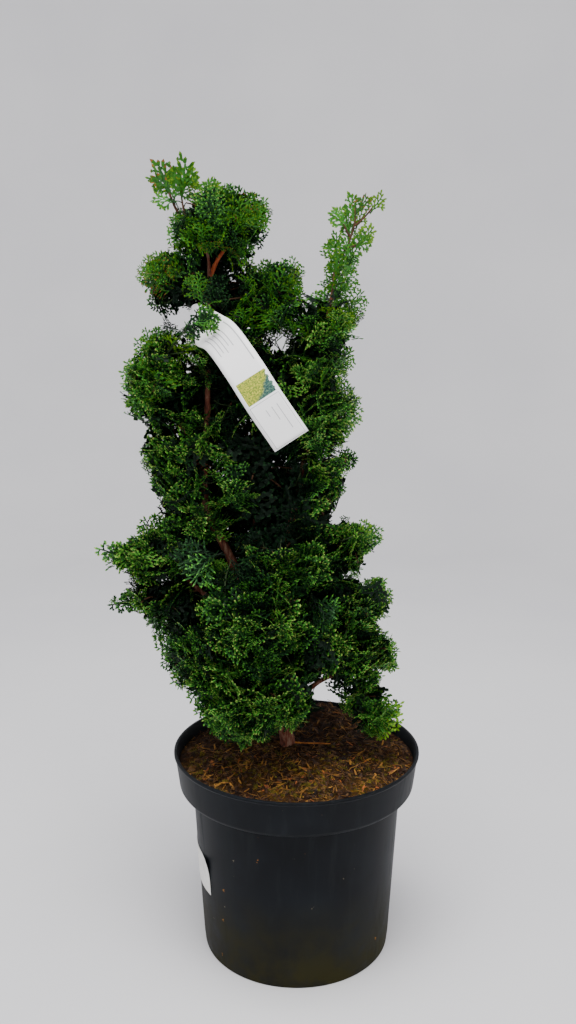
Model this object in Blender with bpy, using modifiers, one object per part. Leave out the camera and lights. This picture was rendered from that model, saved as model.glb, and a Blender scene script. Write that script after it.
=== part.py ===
"""Potted hinoki cypress: a dense, upright garden conifer about 0.8 m tall in a round plastic nursery pot.

The trunk forks just above the soil into stems that lean apart. Boughs leave them, and every bough or
stem carries masses of foliage, each made of a stem, twigs and flat toothed sprays round a small core.
The frame has +Z up, its origin at the middle of the pot's underside, and -Y is the front.
"""

import itertools
import math
import random

import bmesh
import bpy
import numpy as np
from mathutils import Matrix, Vector

# Driving dimensions, in metres
POT_HEIGHT = 0.217
RIM_RADIUS = 0.129
BODY_TOP_RADIUS = 0.1095
BASE_RADIUS = 0.0995
BAND_HEIGHT = 0.036
WALL = 0.002
CLEARANCE = 0.0003

# The pot's rim, foot and drain holes
LIP_HEIGHT = 0.004
LIP_PROJECTION = 0.0025
BAND_TAPER = 0.003
BAND_ROUND = 0.003
FOOT_CHAMFER = 0.003
DRAIN_HOLES = 8
DRAIN_RADIUS = 0.006
DRAIN_CIRCLE_RADIUS = 0.078
POT_STEPS = 32

# The soil's surface is a low dome with a flat place for the trunk
SOIL_EDGE_DROP = 0.012
SOIL_CROWN_DROP = 0.0045
SOIL_FLAT_RADIUS = 0.030
SOIL_RINGS = 2
GROUND = POT_HEIGHT - SOIL_CROWN_DROP

# Foliage: how near it may come to another mass (as a share of its own reach), a limb, the tag or the soil
SPACE_MARGIN = 0.02
LIMB_MARGIN = 0.0025
TAG_MARGIN = 0.004
SOIL_MARGIN = 0.006

# A core fills its mass's space towards the crown's axis and is set back where the mass faces out
CORE_SIZE = 0.92
CORE_SETBACK = 0.28
THINNEST_CORE = 0.025
CROWN_AXIS_X = -0.035
TOP_HEIGHT = 0.70

# Twigs, and the flat sprays that end them
STEM_RADIUS = 0.0016
TWIG_RADIUS = 0.0012
SPRAY_THICKNESS = 0.0014
SPRAY_TEETH = 4
SPRAY_SPREAD = math.radians(44)
SPRAY_NOTCH = 0.78
SPRAY_SIDE_LENGTH = 0.74
SPRAY_TRIES = [
    (share, length, lean)
    for length in (0.042, 0.036, 0.030, 0.024, 0.018, 0.014)
    for share in (0.56, 0.40)
    for lean in (0.50, 0.66, 0.85)
]
SPRAY_SINK = 0.16
SEED = 41

GOLDEN_ANGLE = math.pi * (3 - math.sqrt(5))
UP = Vector((0, 0, 1))

# Stems and boughs: waypoints of each centreline, radius where it starts and radius at its tip.
# One with a carrier starts inside it at that share of its length and is cut clear of its bark.
STEMS = {
    "trunk": dict(
        carrier=None,
        waypoints=[
            (-0.010, 0.015, GROUND + CLEARANCE),
            (-0.020, 0.004, 0.268),
            (-0.060, -0.008, 0.406),
            (-0.091, -0.010, 0.480),
            (-0.088, -0.010, 0.573),
            (-0.084, -0.011, 0.703),
            (-0.091, -0.009, 0.738),
        ],
        radii=(0.0118, 0.0018),
        flare=0.0065,
        sides=10,
    ),
    "right_stem": dict(
        carrier=("trunk", 0.11),
        waypoints=[
            (-0.012, 0.004, 0.330),
            (-0.010, -0.002, 0.430),
            (0.003, -0.009, 0.495),
            (0.016, -0.010, 0.590),
            (0.033, -0.010, 0.682),
        ],
        radii=(0.0066, 0.0017),
        sides=8,
    ),
    "middle_stem": dict(
        carrier=("trunk", 0.22),
        waypoints=[(-0.041, 0.020, 0.410), (-0.043, 0.020, 0.510), (-0.036, 0.006, 0.632)],
        radii=(0.0052, 0.0017),
        sides=8,
    ),
    "top_fork": dict(
        carrier=("trunk", 0.925),
        waypoints=[(-0.076, -0.011, 0.716), (-0.067, -0.010, 0.728)],
        radii=(0.0024, 0.0016),
        sides=6,
    ),
    "left_shoulder_bough": dict(
        carrier=("trunk", 0.885),
        waypoints=[(-0.096, -0.011, 0.693), (-0.107, -0.010, 0.697)],
        radii=(0.0020, 0.0014),
        sides=6,
    ),
    "left_upper_bough": dict(
        carrier=("trunk", 0.56),
        waypoints=[(-0.106, -0.008, 0.542), (-0.122, -0.005, 0.566)],
        radii=(0.0028, 0.0016),
        sides=6,
    ),
    "left_wing_bough": dict(
        carrier=("trunk", 0.22),
        waypoints=[(-0.078, -0.002, 0.368), (-0.116, 0.000, 0.402)],
        radii=(0.0044, 0.0022),
        sides=6,
    ),
    "left_skirt_bough": dict(
        carrier=("trunk", 0.14),
        waypoints=[(-0.056, -0.018, 0.302), (-0.074, -0.022, 0.314)],
        radii=(0.0038, 0.0020),
        sides=6,
    ),
    "front_bough": dict(
        carrier=("trunk", 0.17),
        waypoints=[(-0.030, -0.026, 0.322), (-0.028, -0.046, 0.350)],
        radii=(0.0038, 0.0020),
        sides=6,
    ),
    "right_wing_bough": dict(
        carrier=("right_stem", 0.09),
        waypoints=[(0.012, 0.002, 0.345), (0.038, 0.000, 0.392)],
        radii=(0.0040, 0.0020),
        sides=6,
    ),
    "right_skirt_bough": dict(
        carrier=("trunk", 0.08),
        waypoints=[(0.024, -0.004, 0.283), (0.056, -0.010, 0.296)],
        radii=(0.0036, 0.0020),
        sides=6,
    ),
    "back_left_bough": dict(
        carrier=("trunk", 0.19),
        waypoints=[(-0.052, 0.028, 0.308), (-0.066, 0.040, 0.324)],
        radii=(0.0040, 0.0020),
        sides=6,
    ),
    "back_right_bough": dict(
        carrier=("right_stem", 0.05),
        waypoints=[(-0.006, 0.030, 0.302), (0.003, 0.044, 0.319)],
        radii=(0.0040, 0.0020),
        sides=6,
    ),
    "back_upper_bough": dict(
        carrier=("middle_stem", 0.55),
        waypoints=[(-0.052, 0.040, 0.545), (-0.062, 0.050, 0.575)],
        radii=(0.0024, 0.0015),
        sides=6,
    ),
}

# Masses of foliage: what carries it and at what share, the centre and half sizes of the
# egg-shaped space that it fills, its lean about the front-to-back axis, and how many sprays.
MASSES = {
    "top_twin_sprays": (("trunk", 1.0), (-0.117, -0.002, 0.780), (0.028, 0.022, 0.035), -14, 8),
    "crown_head": (("top_fork", 1.0), (-0.074, -0.004, 0.746), (0.053, 0.046, 0.045), 0, 10),
    "left_shoulder": (("left_shoulder_bough", 1.0), (-0.116, -0.004, 0.692), (0.041, 0.039, 0.040), 0, 7),
    "head_back": (("trunk", 0.90), (-0.080, 0.028, 0.690), (0.056, 0.045, 0.055), 0, 6),
    "middle_head": (("middle_stem", 1.0), (-0.031, -0.006, 0.679), (0.051, 0.041, 0.052), 0, 7),
    "right_plume": (("right_stem", 1.0), (0.052, -0.004, 0.727), (0.028, 0.024, 0.059), 20, 10),
    "right_shoulder": (("right_stem", 0.88), (0.026, -0.002, 0.646), (0.041, 0.039, 0.051), 8, 7),
    "right_flank": (("right_stem", 0.70), (0.021, 0.000, 0.568), (0.043, 0.043, 0.057), 0, 6),
    "right_waist": (("right_stem", 0.48), (0.011, 0.002, 0.484), (0.041, 0.046, 0.057), 0, 6),
    "right_spur": (("right_stem", 0.57), (0.048, 0.000, 0.524), (0.026, 0.022, 0.021), 62, 5),
    "left_upper": (("left_upper_bough", 1.0), (-0.132, -0.002, 0.602), (0.043, 0.043, 0.056), 8, 8),
    "left_middle": (("trunk", 0.53), (-0.114, -0.004, 0.515), (0.047, 0.050, 0.062), 0, 8),
    "centre_upper": (("middle_stem", 0.85), (-0.044, 0.008, 0.600), (0.046, 0.050, 0.062), 0, 5),
    "centre_middle": (("middle_stem", 0.45), (-0.040, 0.003, 0.508), (0.050, 0.052, 0.068), 0, 6),
    "left_wing": (("left_wing_bough", 1.0), (-0.134, 0.000, 0.424), (0.068, 0.041, 0.036), 0, 9),
    "left_wing_low": (("left_wing_bough", 0.80), (-0.138, -0.004, 0.376), (0.053, 0.036, 0.029), 0, 7),
    "left_skirt": (("left_skirt_bough", 1.0), (-0.096, -0.029, 0.320), (0.052, 0.052, 0.049), 0, 8),
    "front_middle": (("front_bough", 1.0), (-0.039, -0.055, 0.372), (0.062, 0.055, 0.051), 0, 8),
    "front_fan": (("right_stem", 0.30), (-0.016, -0.039, 0.426), (0.051, 0.048, 0.042), 0, 7),
    "front_skirt": (("trunk", 0.12), (-0.039, -0.053, 0.294), (0.066, 0.059, 0.050), 0, 8),
    "front_right": (("right_wing_bough", 0.40), (0.024, -0.036, 0.334), (0.042, 0.038, 0.046), 0, 6),
    "right_wing_top": (("right_wing_bough", 1.0), (0.048, 0.000, 0.430), (0.040, 0.043, 0.037), 20, 7),
    "right_wing": (("right_wing_bough", 0.85), (0.054, -0.004, 0.368), (0.048, 0.050, 0.041), 0, 6),
    "right_wing_low": (("right_skirt_bough", 1.0), (0.066, -0.002, 0.316), (0.042, 0.046, 0.038), 0, 7),
    "right_skirt": (("right_skirt_bough", 0.85), (0.074, -0.014, 0.262), (0.034, 0.038, 0.031), 18, 7),
    "back_low_left": (("back_left_bough", 1.0), (-0.081, 0.060, 0.345), (0.070, 0.056, 0.076), 0, 8),
    "back_low_right": (("back_right_bough", 1.0), (0.014, 0.062, 0.336), (0.066, 0.054, 0.074), 0, 8),
    "back_middle_left": (("trunk", 0.44), (-0.088, 0.043, 0.455), (0.068, 0.054, 0.072), 0, 8),
    "back_middle_right": (("right_stem", 0.36), (-0.008, 0.047, 0.448), (0.066, 0.052, 0.072), 0, 8),
    "back_upper_left": (("back_upper_bough", 1.0), (-0.085, 0.043, 0.578), (0.058, 0.048, 0.072), 0, 7),
    "back_upper_right": (("right_stem", 0.74), (-0.011, 0.043, 0.572), (0.056, 0.046, 0.074), 0, 7),
}

# The hang tag: a strip of stiff film looped round the trunk, then hanging over the foliage.
# Each row is a point of its centreline and the direction across its width there.
TAG_WIDTH = 0.036
TAG_THICKNESS = 0.0006
TAG_STATIONS = [
    ((-0.0790, -0.0210, 0.640), (0.05, 0.00, 0.99)),
    ((-0.0765, -0.0120, 0.643), (0.05, 0.00, 0.99)),
    ((-0.0850, -0.0071, 0.648), (0.05, -0.022, 0.99)),
    ((-0.0940, -0.0085, 0.654), (0.05, 0.00, 0.99)),
    ((-0.0985, -0.0160, 0.660), (0.16, -0.05, 0.98)),
    ((-0.0960, -0.0270, 0.664), (0.40, 0.00, 0.92)),
    ((-0.0860, -0.0410, 0.660), (0.60, 0.02, 0.80)),
    ((-0.0700, -0.0600, 0.645), (0.75, 0.05, 0.66)),
    ((-0.0500, -0.0780, 0.618), (0.84, 0.05, 0.54)),
    ((-0.0300, -0.0890, 0.588), (0.84, 0.05, 0.54)),
    ((-0.0080, -0.0930, 0.556), (0.84, 0.05, 0.54)),
]


# Tools that several sub-parts share


def clear_scene():
    for old in list(bpy.data.objects):
        bpy.data.objects.remove(old, do_unlink=True)


def new_collection(name):
    made = bpy.data.collections.new(name)
    bpy.context.scene.collection.children.link(made)
    return made


def linear(channel):
    """One sRGB channel, 0 to 255, as the linear value that a shader takes."""
    share = channel / 255
    return share / 12.92 if share <= 0.04045 else ((share + 0.055) / 1.055) ** 2.4


def finish(name, hex_colour, roughness):
    """A Principled material of one colour, from the photograph; nothing on the plant is metal."""
    made = bpy.data.materials.new(name)
    made.use_nodes = True
    shader = made.node_tree.nodes["Principled BSDF"]
    colour = [linear(int(hex_colour[i : i + 2], 16)) for i in (0, 2, 4)]
    shader.inputs["Base Color"].default_value = (*colour, 1)
    shader.inputs["Roughness"].default_value = roughness
    shader.inputs["Metallic"].default_value = 0
    return made


def add_object(name, data, collection, material=None):
    made = bpy.data.objects.new(name, data)
    collection.objects.link(made)
    if material:
        made.data.materials.append(material)
    return made


def evaluated_mesh(obj, name):
    """The object's mesh with its modifiers applied, and with loose caps welded to their sides."""
    mesh = bpy.data.meshes.new_from_object(obj.evaluated_get(bpy.context.evaluated_depsgraph_get()))
    mesh.name = name
    work = bmesh.new()
    work.from_mesh(mesh)
    bmesh.ops.remove_doubles(work, verts=work.verts, dist=1e-6)
    bmesh.ops.recalc_face_normals(work, faces=work.faces)
    work.to_mesh(mesh)
    work.free()
    return mesh


def smooth_path(waypoints, steps=3):
    """Points of a Catmull-Rom curve through the waypoints, the waypoints included."""
    points = [Vector(p) for p in waypoints]
    ends = [points[0] * 2 - points[1], *points, points[-1] * 2 - points[-2]]
    path = [points[0]]
    for before, start, stop, after in zip(ends, ends[1:], ends[2:], ends[3:]):
        for step in range(1, steps + 1):
            t = step / steps
            path.append(
                0.5
                * (
                    2 * start
                    + (stop - before) * t
                    + (2 * before - 5 * start + 4 * stop - after) * t**2
                    + (3 * start - before - 3 * stop + after) * t**3
                )
            )
    return path


class Limb:
    """A trunk, stem or bough: a tapering tube along a smooth path."""

    def __init__(self, path, radii, flare=0.0):
        self.path = path
        lengths = [0.0]
        for a, b in zip(path, path[1:]):
            lengths.append(lengths[-1] + (b - a).length)
        self.shares = [length / lengths[-1] for length in lengths]
        self.radii = [self.taper(share, radii, flare) for share in self.shares]

    @staticmethod
    def taper(share, radii, flare):
        """The radius thins fast above the foot, then slowly, with a short flare where roots spread."""
        foot, tip = radii
        return tip + (foot - tip) * (1 - share) ** 1.35 + flare * math.exp(-share / 0.025)

    def at(self, share):
        """The centreline's point, direction and radius at a share of the length."""
        index = min(np.searchsorted(self.shares, share, side="right"), len(self.path) - 1)
        a, b = self.path[index - 1], self.path[index]
        t = (share - self.shares[index - 1]) / (self.shares[index] - self.shares[index - 1])
        radius = self.radii[index - 1] + (self.radii[index] - self.radii[index - 1]) * t
        return a.lerp(b, t), (b - a).normalized(), radius

    def samples(self, spacing=0.003):
        """Points along the centreline with their radii, close enough to measure a distance from."""
        found = []
        for a, b, ra, rb in zip(self.path, self.path[1:], self.radii, self.radii[1:]):
            count = max(1, math.ceil((b - a).length / spacing))
            found += [(*a.lerp(b, i / count), ra + (rb - ra) * i / count) for i in range(count)]
        return found + [(*self.path[-1], self.radii[-1])]


def tube(name, limb, sides, collection, material, extra=0.0):
    """A closed tube along a limb as a mesh object, thicker by extra where it serves as a cutter."""
    curve = bpy.data.curves.new(name, "CURVE")
    curve.dimensions = "3D"
    curve.bevel_depth = 1.0
    curve.bevel_resolution = (sides - 4) // 2
    curve.use_fill_caps = True
    spline = curve.splines.new("POLY")
    spline.points.add(len(limb.path) - 1)
    for point, place, radius in zip(spline.points, limb.path, limb.radii):
        point.co = (*place, 1)
        point.radius = radius + extra
    guide = add_object(name + "_path", curve, collection)
    mesh = evaluated_mesh(guide, name)
    bpy.data.objects.remove(guide)
    made = add_object(name, mesh, collection, material)
    made.data.shade_smooth()
    made.data.set_sharp_from_angle(angle=math.radians(50))
    return made


def subtract(obj, cutter, solver="EXACT"):
    """Cuts one object with another, keeps the result as the object's mesh and removes the cutter."""
    cut = obj.modifiers.new("cut", "BOOLEAN")
    cut.operation = "DIFFERENCE"
    cut.object = cutter
    cut.solver = solver
    keep_largest_body(obj, evaluated_mesh(obj, obj.name))
    bpy.data.objects.remove(cutter)


def keep_largest_body(obj, mesh):
    """Gives the object this mesh without loose scraps or sealed hollows, and drops its modifiers."""
    work = bmesh.new()
    work.from_mesh(mesh)
    bmesh.ops.triangulate(work, faces=work.faces)
    unseen = set(work.faces)
    bodies = []
    while unseen:
        front = [unseen.pop()]
        body = list(front)
        while front:
            for edge in front.pop().edges:
                for face in edge.link_faces:
                    if face in unseen:
                        unseen.remove(face)
                        front.append(face)
                        body.append(face)
        bodies.append(body)
    bodies.sort(key=signed_volume, reverse=True)
    spare = [face for body in bodies[1:] for face in body]
    bmesh.ops.delete(work, geom=spare, context="FACES")
    work.to_mesh(mesh)
    work.free()
    materials = list(obj.data.materials)
    obj.modifiers.clear()
    obj.data = mesh
    mesh.materials.clear()
    for material in materials:
        mesh.materials.append(material)


def is_closed(mesh):
    """Whether each edge joins exactly two faces."""
    work = bmesh.new()
    work.from_mesh(mesh)
    found = all(len(edge.link_faces) == 2 for edge in work.edges)
    work.free()
    return found


def signed_volume(faces):
    """Volume inside triangles that face outwards; it is negative for a hollow."""
    return sum(f.verts[0].co.dot(f.verts[1].co.cross(f.verts[2].co)) for f in faces) / 6


# The pot and the soil


def pot_outside():
    """The pot's outer profile from the top of the lip down to the foot: radius, height."""
    lip_bottom = POT_HEIGHT - LIP_HEIGHT
    band_radius = RIM_RADIUS - LIP_PROJECTION
    band_bottom = POT_HEIGHT - BAND_HEIGHT
    return [
        (RIM_RADIUS - WALL / 2, POT_HEIGHT),
        (RIM_RADIUS, POT_HEIGHT - WALL / 2),
        (RIM_RADIUS, lip_bottom),
        (band_radius, lip_bottom - LIP_PROJECTION / 2),
        (band_radius - BAND_TAPER, band_bottom + BAND_ROUND),
        (band_radius - BAND_TAPER - BAND_ROUND, band_bottom),
        (BODY_TOP_RADIUS, band_bottom - BAND_ROUND),
        (BASE_RADIUS, FOOT_CHAMFER),
        (BASE_RADIUS - FOOT_CHAMFER, 0),
    ]


def pot_inside(gap=0.0):
    """The pot's inner profile from the floor up to the rim, kept this far inside the wall."""
    band_radius = RIM_RADIUS - LIP_PROJECTION - WALL - gap
    ledge = POT_HEIGHT - BAND_HEIGHT + WALL + gap
    return [
        (BASE_RADIUS - WALL - FOOT_CHAMFER - gap, WALL + gap),
        (BASE_RADIUS - WALL - gap, WALL + FOOT_CHAMFER + gap),
        (BODY_TOP_RADIUS - WALL - gap, ledge - BAND_ROUND),
        (band_radius - BAND_TAPER - BAND_ROUND, ledge),
        (band_radius - BAND_TAPER, ledge + BAND_ROUND),
        (band_radius, POT_HEIGHT - LIP_HEIGHT),
    ]


def turned(name, profile, collection, material):
    """A solid of revolution from a profile that runs down its outer side and ends on the axis."""
    mesh = bpy.data.meshes.new(name)
    mesh.from_pydata([(r, 0, z) for r, z in profile], [(i, i + 1) for i in range(len(profile) - 1)], [])
    made = add_object(name, mesh, collection, material)
    screw = made.modifiers.new("turn", "SCREW")
    screw.steps = screw.render_steps = POT_STEPS
    screw.use_merge_vertices = True
    screw.merge_threshold = 1e-5
    return made


def make_pot(collection, cutters, material):
    rim_inner = RIM_RADIUS - LIP_PROJECTION - WALL / 2
    profile = [(0, WALL), *pot_inside(), (rim_inner, POT_HEIGHT), *pot_outside(), (0, 0)]
    pot = turned("pot", profile, collection, material)
    for i in range(DRAIN_HOLES):
        angle = 2 * math.pi * (i + 0.5) / DRAIN_HOLES
        place = (DRAIN_CIRCLE_RADIUS * math.cos(angle), DRAIN_CIRCLE_RADIUS * math.sin(angle), WALL / 2)
        bpy.ops.mesh.primitive_cylinder_add(vertices=8, radius=DRAIN_RADIUS, depth=WALL * 4, location=place)
        drill = bpy.context.object
        drill.name = f"drain_{i}"
        drill.hide_render = True
        drill.display_type = "WIRE"
        for owner in list(drill.users_collection):
            owner.objects.unlink(drill)
        cutters.objects.link(drill)
    drains = pot.modifiers.new("drains", "BOOLEAN")
    drains.operation = "DIFFERENCE"
    drains.operand_type = "COLLECTION"
    drains.collection = cutters
    return pot


def soil_height(radius):
    """The surface's height at a distance from the pot's axis."""
    edge = pot_inside()[-1][0]
    share = max(0.0, (radius - SOIL_FLAT_RADIUS) / (edge - SOIL_FLAT_RADIUS))
    return POT_HEIGHT - SOIL_CROWN_DROP - (SOIL_EDGE_DROP - SOIL_CROWN_DROP) * share**2


def make_soil(collection, material):
    inside = pot_inside(CLEARANCE)
    edge_height = POT_HEIGHT - SOIL_EDGE_DROP
    low, high = inside[-2], inside[-1]
    share = (edge_height - low[1]) / (high[1] - low[1])
    edge_radius = low[0] + (high[0] - low[0]) * share
    flat = SOIL_FLAT_RADIUS
    rings = [edge_radius + (flat - edge_radius) * i / (SOIL_RINGS + 1) for i in range(SOIL_RINGS + 2)]
    surface = [(r, soil_height(r)) for r in reversed(rings[1:])]
    wall = [(edge_radius, edge_height), *reversed(inside[:-1])]
    return turned("soil", [(0, GROUND), *surface, *wall, (0, inside[0][1])], collection, material)


# The trunk, stems and boughs


def grow_limbs():
    """Every stem and bough as a Limb; a carried one starts on its carrier's centreline."""
    limbs = {}
    for name, row in STEMS.items():
        waypoints = [Vector(p) for p in row["waypoints"]]
        if row["carrier"]:
            carrier, share = row["carrier"]
            waypoints.insert(0, limbs[carrier].at(share)[0])
        else:
            foot = waypoints[0] + UP * 0.006
            waypoints.insert(1, foot)
        limbs[name] = Limb(smooth_path(waypoints), row["radii"], row.get("flare", 0.0))
    return limbs


def level_foot(obj):
    """Makes the trunk's foot a flat cut, level with the ground."""
    for vertex in obj.data.vertices:
        if vertex.co.z < GROUND + 0.003:
            vertex.co.z = GROUND + CLEARANCE


def carrier_seat(limbs, carrier, collection):
    """A cutter just thicker than a limb, which takes what it carries 0.3 mm clear of its bark."""
    sides = STEMS[carrier]["sides"]
    return tube(carrier + "_seat", limbs[carrier], sides, collection, None, CLEARANCE * 1.2)


def make_limbs(limbs, collection, material):
    for name, row in STEMS.items():
        obj = tube(name, limbs[name], row["sides"], collection, material)
        if row["carrier"]:
            subtract(obj, carrier_seat(limbs, row["carrier"][0], collection))
        else:
            level_foot(obj)


# The hang tag


def make_tag(collection, material):
    """An open ribbon with Solidify; the rows of points across it are returned with it."""
    path = smooth_path([place for place, across in TAG_STATIONS], 2)
    across = [way.normalized() * TAG_WIDTH for way in smooth_path([row[1] for row in TAG_STATIONS], 2)]
    points = [place + way * side for place, way in zip(path, across) for side in (-0.5, 0.5)]
    faces = [(2 * i, 2 * i + 1, 2 * i + 3, 2 * i + 2) for i in range(len(path) - 1)]
    mesh = bpy.data.meshes.new("hang_tag")
    mesh.from_pydata(points, [], faces)
    tag = add_object("hang_tag", mesh, collection, material)
    wall = tag.modifiers.new("film", "SOLIDIFY")
    wall.thickness = TAG_THICKNESS
    wall.offset = 0
    rows = list(zip(path, across))
    return [
        a.lerp(b, t) + way_a.lerp(way_b, t) * side
        for (a, way_a), (b, way_b) in zip(rows, rows[1:])
        for t in (0, 0.34, 0.67, 1)
        for side in np.linspace(-0.5, 0.5, 9)
    ]


# The masses of foliage


class Mass:
    """One mass: its egg-shaped space and the seeded twigs and sprays that grow in it."""

    def __init__(self, name, row):
        self.name = name
        self.carrier, centre, half, lean, self.count = row
        self.centre = Vector(centre)
        self.half = np.array(half)
        self.turn = Matrix.Rotation(math.radians(lean), 3, "Y")
        self.is_thin = min(half) < THINNEST_CORE
        self.free_all_round = self.centre.z > TOP_HEIGHT
        self.outward = Vector((self.centre.x - CROWN_AXIS_X, self.centre.y, 0.02)).normalized()

    def reach(self, points):
        """How far out each point lies: 0 in the middle of the space and 1 on its skin."""
        local = (np.asarray(points) - np.array(self.centre)) @ np.array(self.turn)
        return np.linalg.norm(local / self.half, axis=-1)

    def surface(self, direction):
        """The point of the skin that lies in a direction, given in the space's own axes."""
        return self.centre + self.turn @ Vector(direction * self.half)


class Crown:
    """All masses together, which share the space out between them."""

    def __init__(self, limbs, tag_points):
        self.masses = [Mass(name, row) for name, row in MASSES.items()]
        self.limbs = limbs
        samples = np.array([s for limb in limbs.values() for s in limb.samples()])
        self.limb_points, self.limb_radii = samples[:, :3], samples[:, 3]
        self.tag_points = np.array([tuple(p) for p in tag_points])
        self.stems = {mass.name: self.stem_of(mass) for mass in self.masses}

    def in_space(self, mass, points):
        """For each point, whether it is above the soil and nearer this mass's middle than any other's."""
        own = mass.reach(points)
        found = (own <= 1) & (points[:, 2] > POT_HEIGHT + SOIL_MARGIN)
        for other in self.masses:
            if other is not mass:
                found &= other.reach(points) > own + SPACE_MARGIN
        return found

    def off_the_wood(self, mass, points):
        """For each point, whether it is clear of the limbs, the tag and the other masses' stems."""
        others = [stem for name, stem in self.stems.items() if name != mass.name]
        stems = np.array([foot.lerp(middle, i / 9) for foot, middle in others for i in range(10)])
        to_limbs = np.linalg.norm(points[:, None] - self.limb_points, axis=2) - self.limb_radii
        to_tag = np.linalg.norm(points[:, None] - self.tag_points, axis=2)
        to_stems = np.linalg.norm(points[:, None] - stems, axis=2) - STEM_RADIUS
        found = (to_limbs.min(axis=1) > LIMB_MARGIN) & (to_stems.min(axis=1) > LIMB_MARGIN)
        return found & (to_tag.min(axis=1) > TAG_MARGIN)

    def clear(self, mass, points):
        points = np.array([tuple(p) for p in points])
        return self.in_space(mass, points) & self.off_the_wood(mass, points)

    def room_for(self, mass, points):
        points = np.array([tuple(p) for p in points])
        return self.in_space(mass, points).all() and self.off_the_wood(mass, points).all()

    def middle_of(self, mass, place, heading):
        """Where the mass branches: near its centre, as far as it can be from limbs and from the tag."""
        if mass.is_thin:
            return mass.centre
        best = None
        for offset in itertools.product((-0.4, -0.2, 0.0, 0.2, 0.4), repeat=3):
            spot = mass.surface(np.array(offset))
            if heading is not None and (spot - place).angle(heading) > math.radians(75):
                continue
            to_limbs = (np.linalg.norm(self.limb_points - np.array(spot), axis=1) - self.limb_radii).min()
            to_tag = np.linalg.norm(self.tag_points - np.array(spot), axis=1).min()
            room = min(to_limbs, to_tag, 0.5 * min(mass.half)) - 0.012 * sum(x * x for x in offset)
            if best is None or room > best[0]:
                best = (room, spot)
        return best[1]

    def stem_of(self, mass):
        """The mass's own stem: where it leaves its bough's tip or its carrier's bark, and its middle."""
        limb = self.limbs[mass.carrier[0]]
        place, along, bark = limb.at(mass.carrier[1])
        if mass.carrier[1] == 1.0:
            heading = along
            bark = 0
            middle = self.middle_of(mass, place, heading)
        else:
            middle = self.middle_of(mass, place, None)
            outward = middle - place
            heading = (outward - along * outward.dot(along)).normalized()
            bark += CLEARANCE
        tilt = (middle - place).angle(heading)
        foot = place + heading * (bark + CLEARANCE + STEM_RADIUS * math.sin(tilt))
        return [foot, middle]


def spike(start, stop, foot_radius, tip_radius, sides=3):
    """A closed tapering twig between two points."""
    work = bmesh.new()
    length = (stop - start).length
    bmesh.ops.create_cone(
        work, cap_ends=True, segments=sides, radius1=foot_radius, radius2=tip_radius, depth=length
    )
    turn = (stop - start).to_track_quat("Z", "Y").to_matrix().to_4x4()
    bmesh.ops.transform(work, matrix=Matrix.Translation((start + stop) / 2) @ turn, verts=work.verts)
    return work


def spray_outline(teeth):
    """A fan's outline of unit length: the teeth are short twigs' tips, and the middle one is longest."""
    outline = [(0.0, -0.07)]
    for i in range(2 * teeth - 1):
        share = 2 * i / (2 * teeth - 2) - 1
        radius = (1 if i % 2 == 0 else SPRAY_NOTCH) * (1 - (1 - SPRAY_SIDE_LENGTH) * abs(share))
        angle = share * SPRAY_SPREAD
        outline.append((radius * math.cos(angle), radius * math.sin(angle)))
    return [*outline, (0.0, 0.07)]


def spray_template(collection):
    """The flat toothed spray, one unit long and thick, made from a filled outline."""
    curve = bpy.data.curves.new("spray", "CURVE")
    curve.dimensions = "2D"
    curve.fill_mode = "BOTH"
    curve.extrude = 0.5
    outline = spray_outline(SPRAY_TEETH)
    spline = curve.splines.new("POLY")
    spline.points.add(len(outline) - 1)
    spline.use_cyclic_u = True
    for point, (x, y) in zip(spline.points, outline):
        point.co = (x, y, 0, 1)
    guide = add_object("spray_outline", curve, collection)
    mesh = evaluated_mesh(guide, "spray")
    bpy.data.objects.remove(guide)
    return mesh


def spray_frame(root, heading, outward, turn, length):
    """Places the unit spray along its heading, its flat side facing outwards but for the turn."""
    side = heading.cross(outward + heading.orthogonal() * 0.01).normalized()
    side.rotate(Matrix.Rotation(turn, 3, heading))
    normal = heading.cross(side)
    columns = Matrix((heading * length, side * length, normal * SPRAY_THICKNESS)).transposed()
    return Matrix.Translation(root) @ columns.to_4x4()


def spray_directions(mass, chance):
    """Unit vectors spread evenly over the side of a mass that faces out of the crown, with some wander."""
    lowest = -1 if mass.free_all_round else -0.25
    to_outward = Vector((0, 0, 1)).rotation_difference(mass.turn.transposed() @ mass.outward)
    spin = chance.random() * 2 * math.pi
    found = []
    for i in range(mass.count):
        height = 1 - (1 - lowest) * (i + 0.5) / mass.count
        ring = math.sqrt(1 - height * height)
        angle = spin + i * GOLDEN_ANGLE
        direction = to_outward @ Vector((ring * math.cos(angle), ring * math.sin(angle), height))
        direction += Vector([chance.uniform(-0.12, 0.12) for _ in range(3)])
        found.append(np.array(direction.normalized()))
    return found


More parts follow.
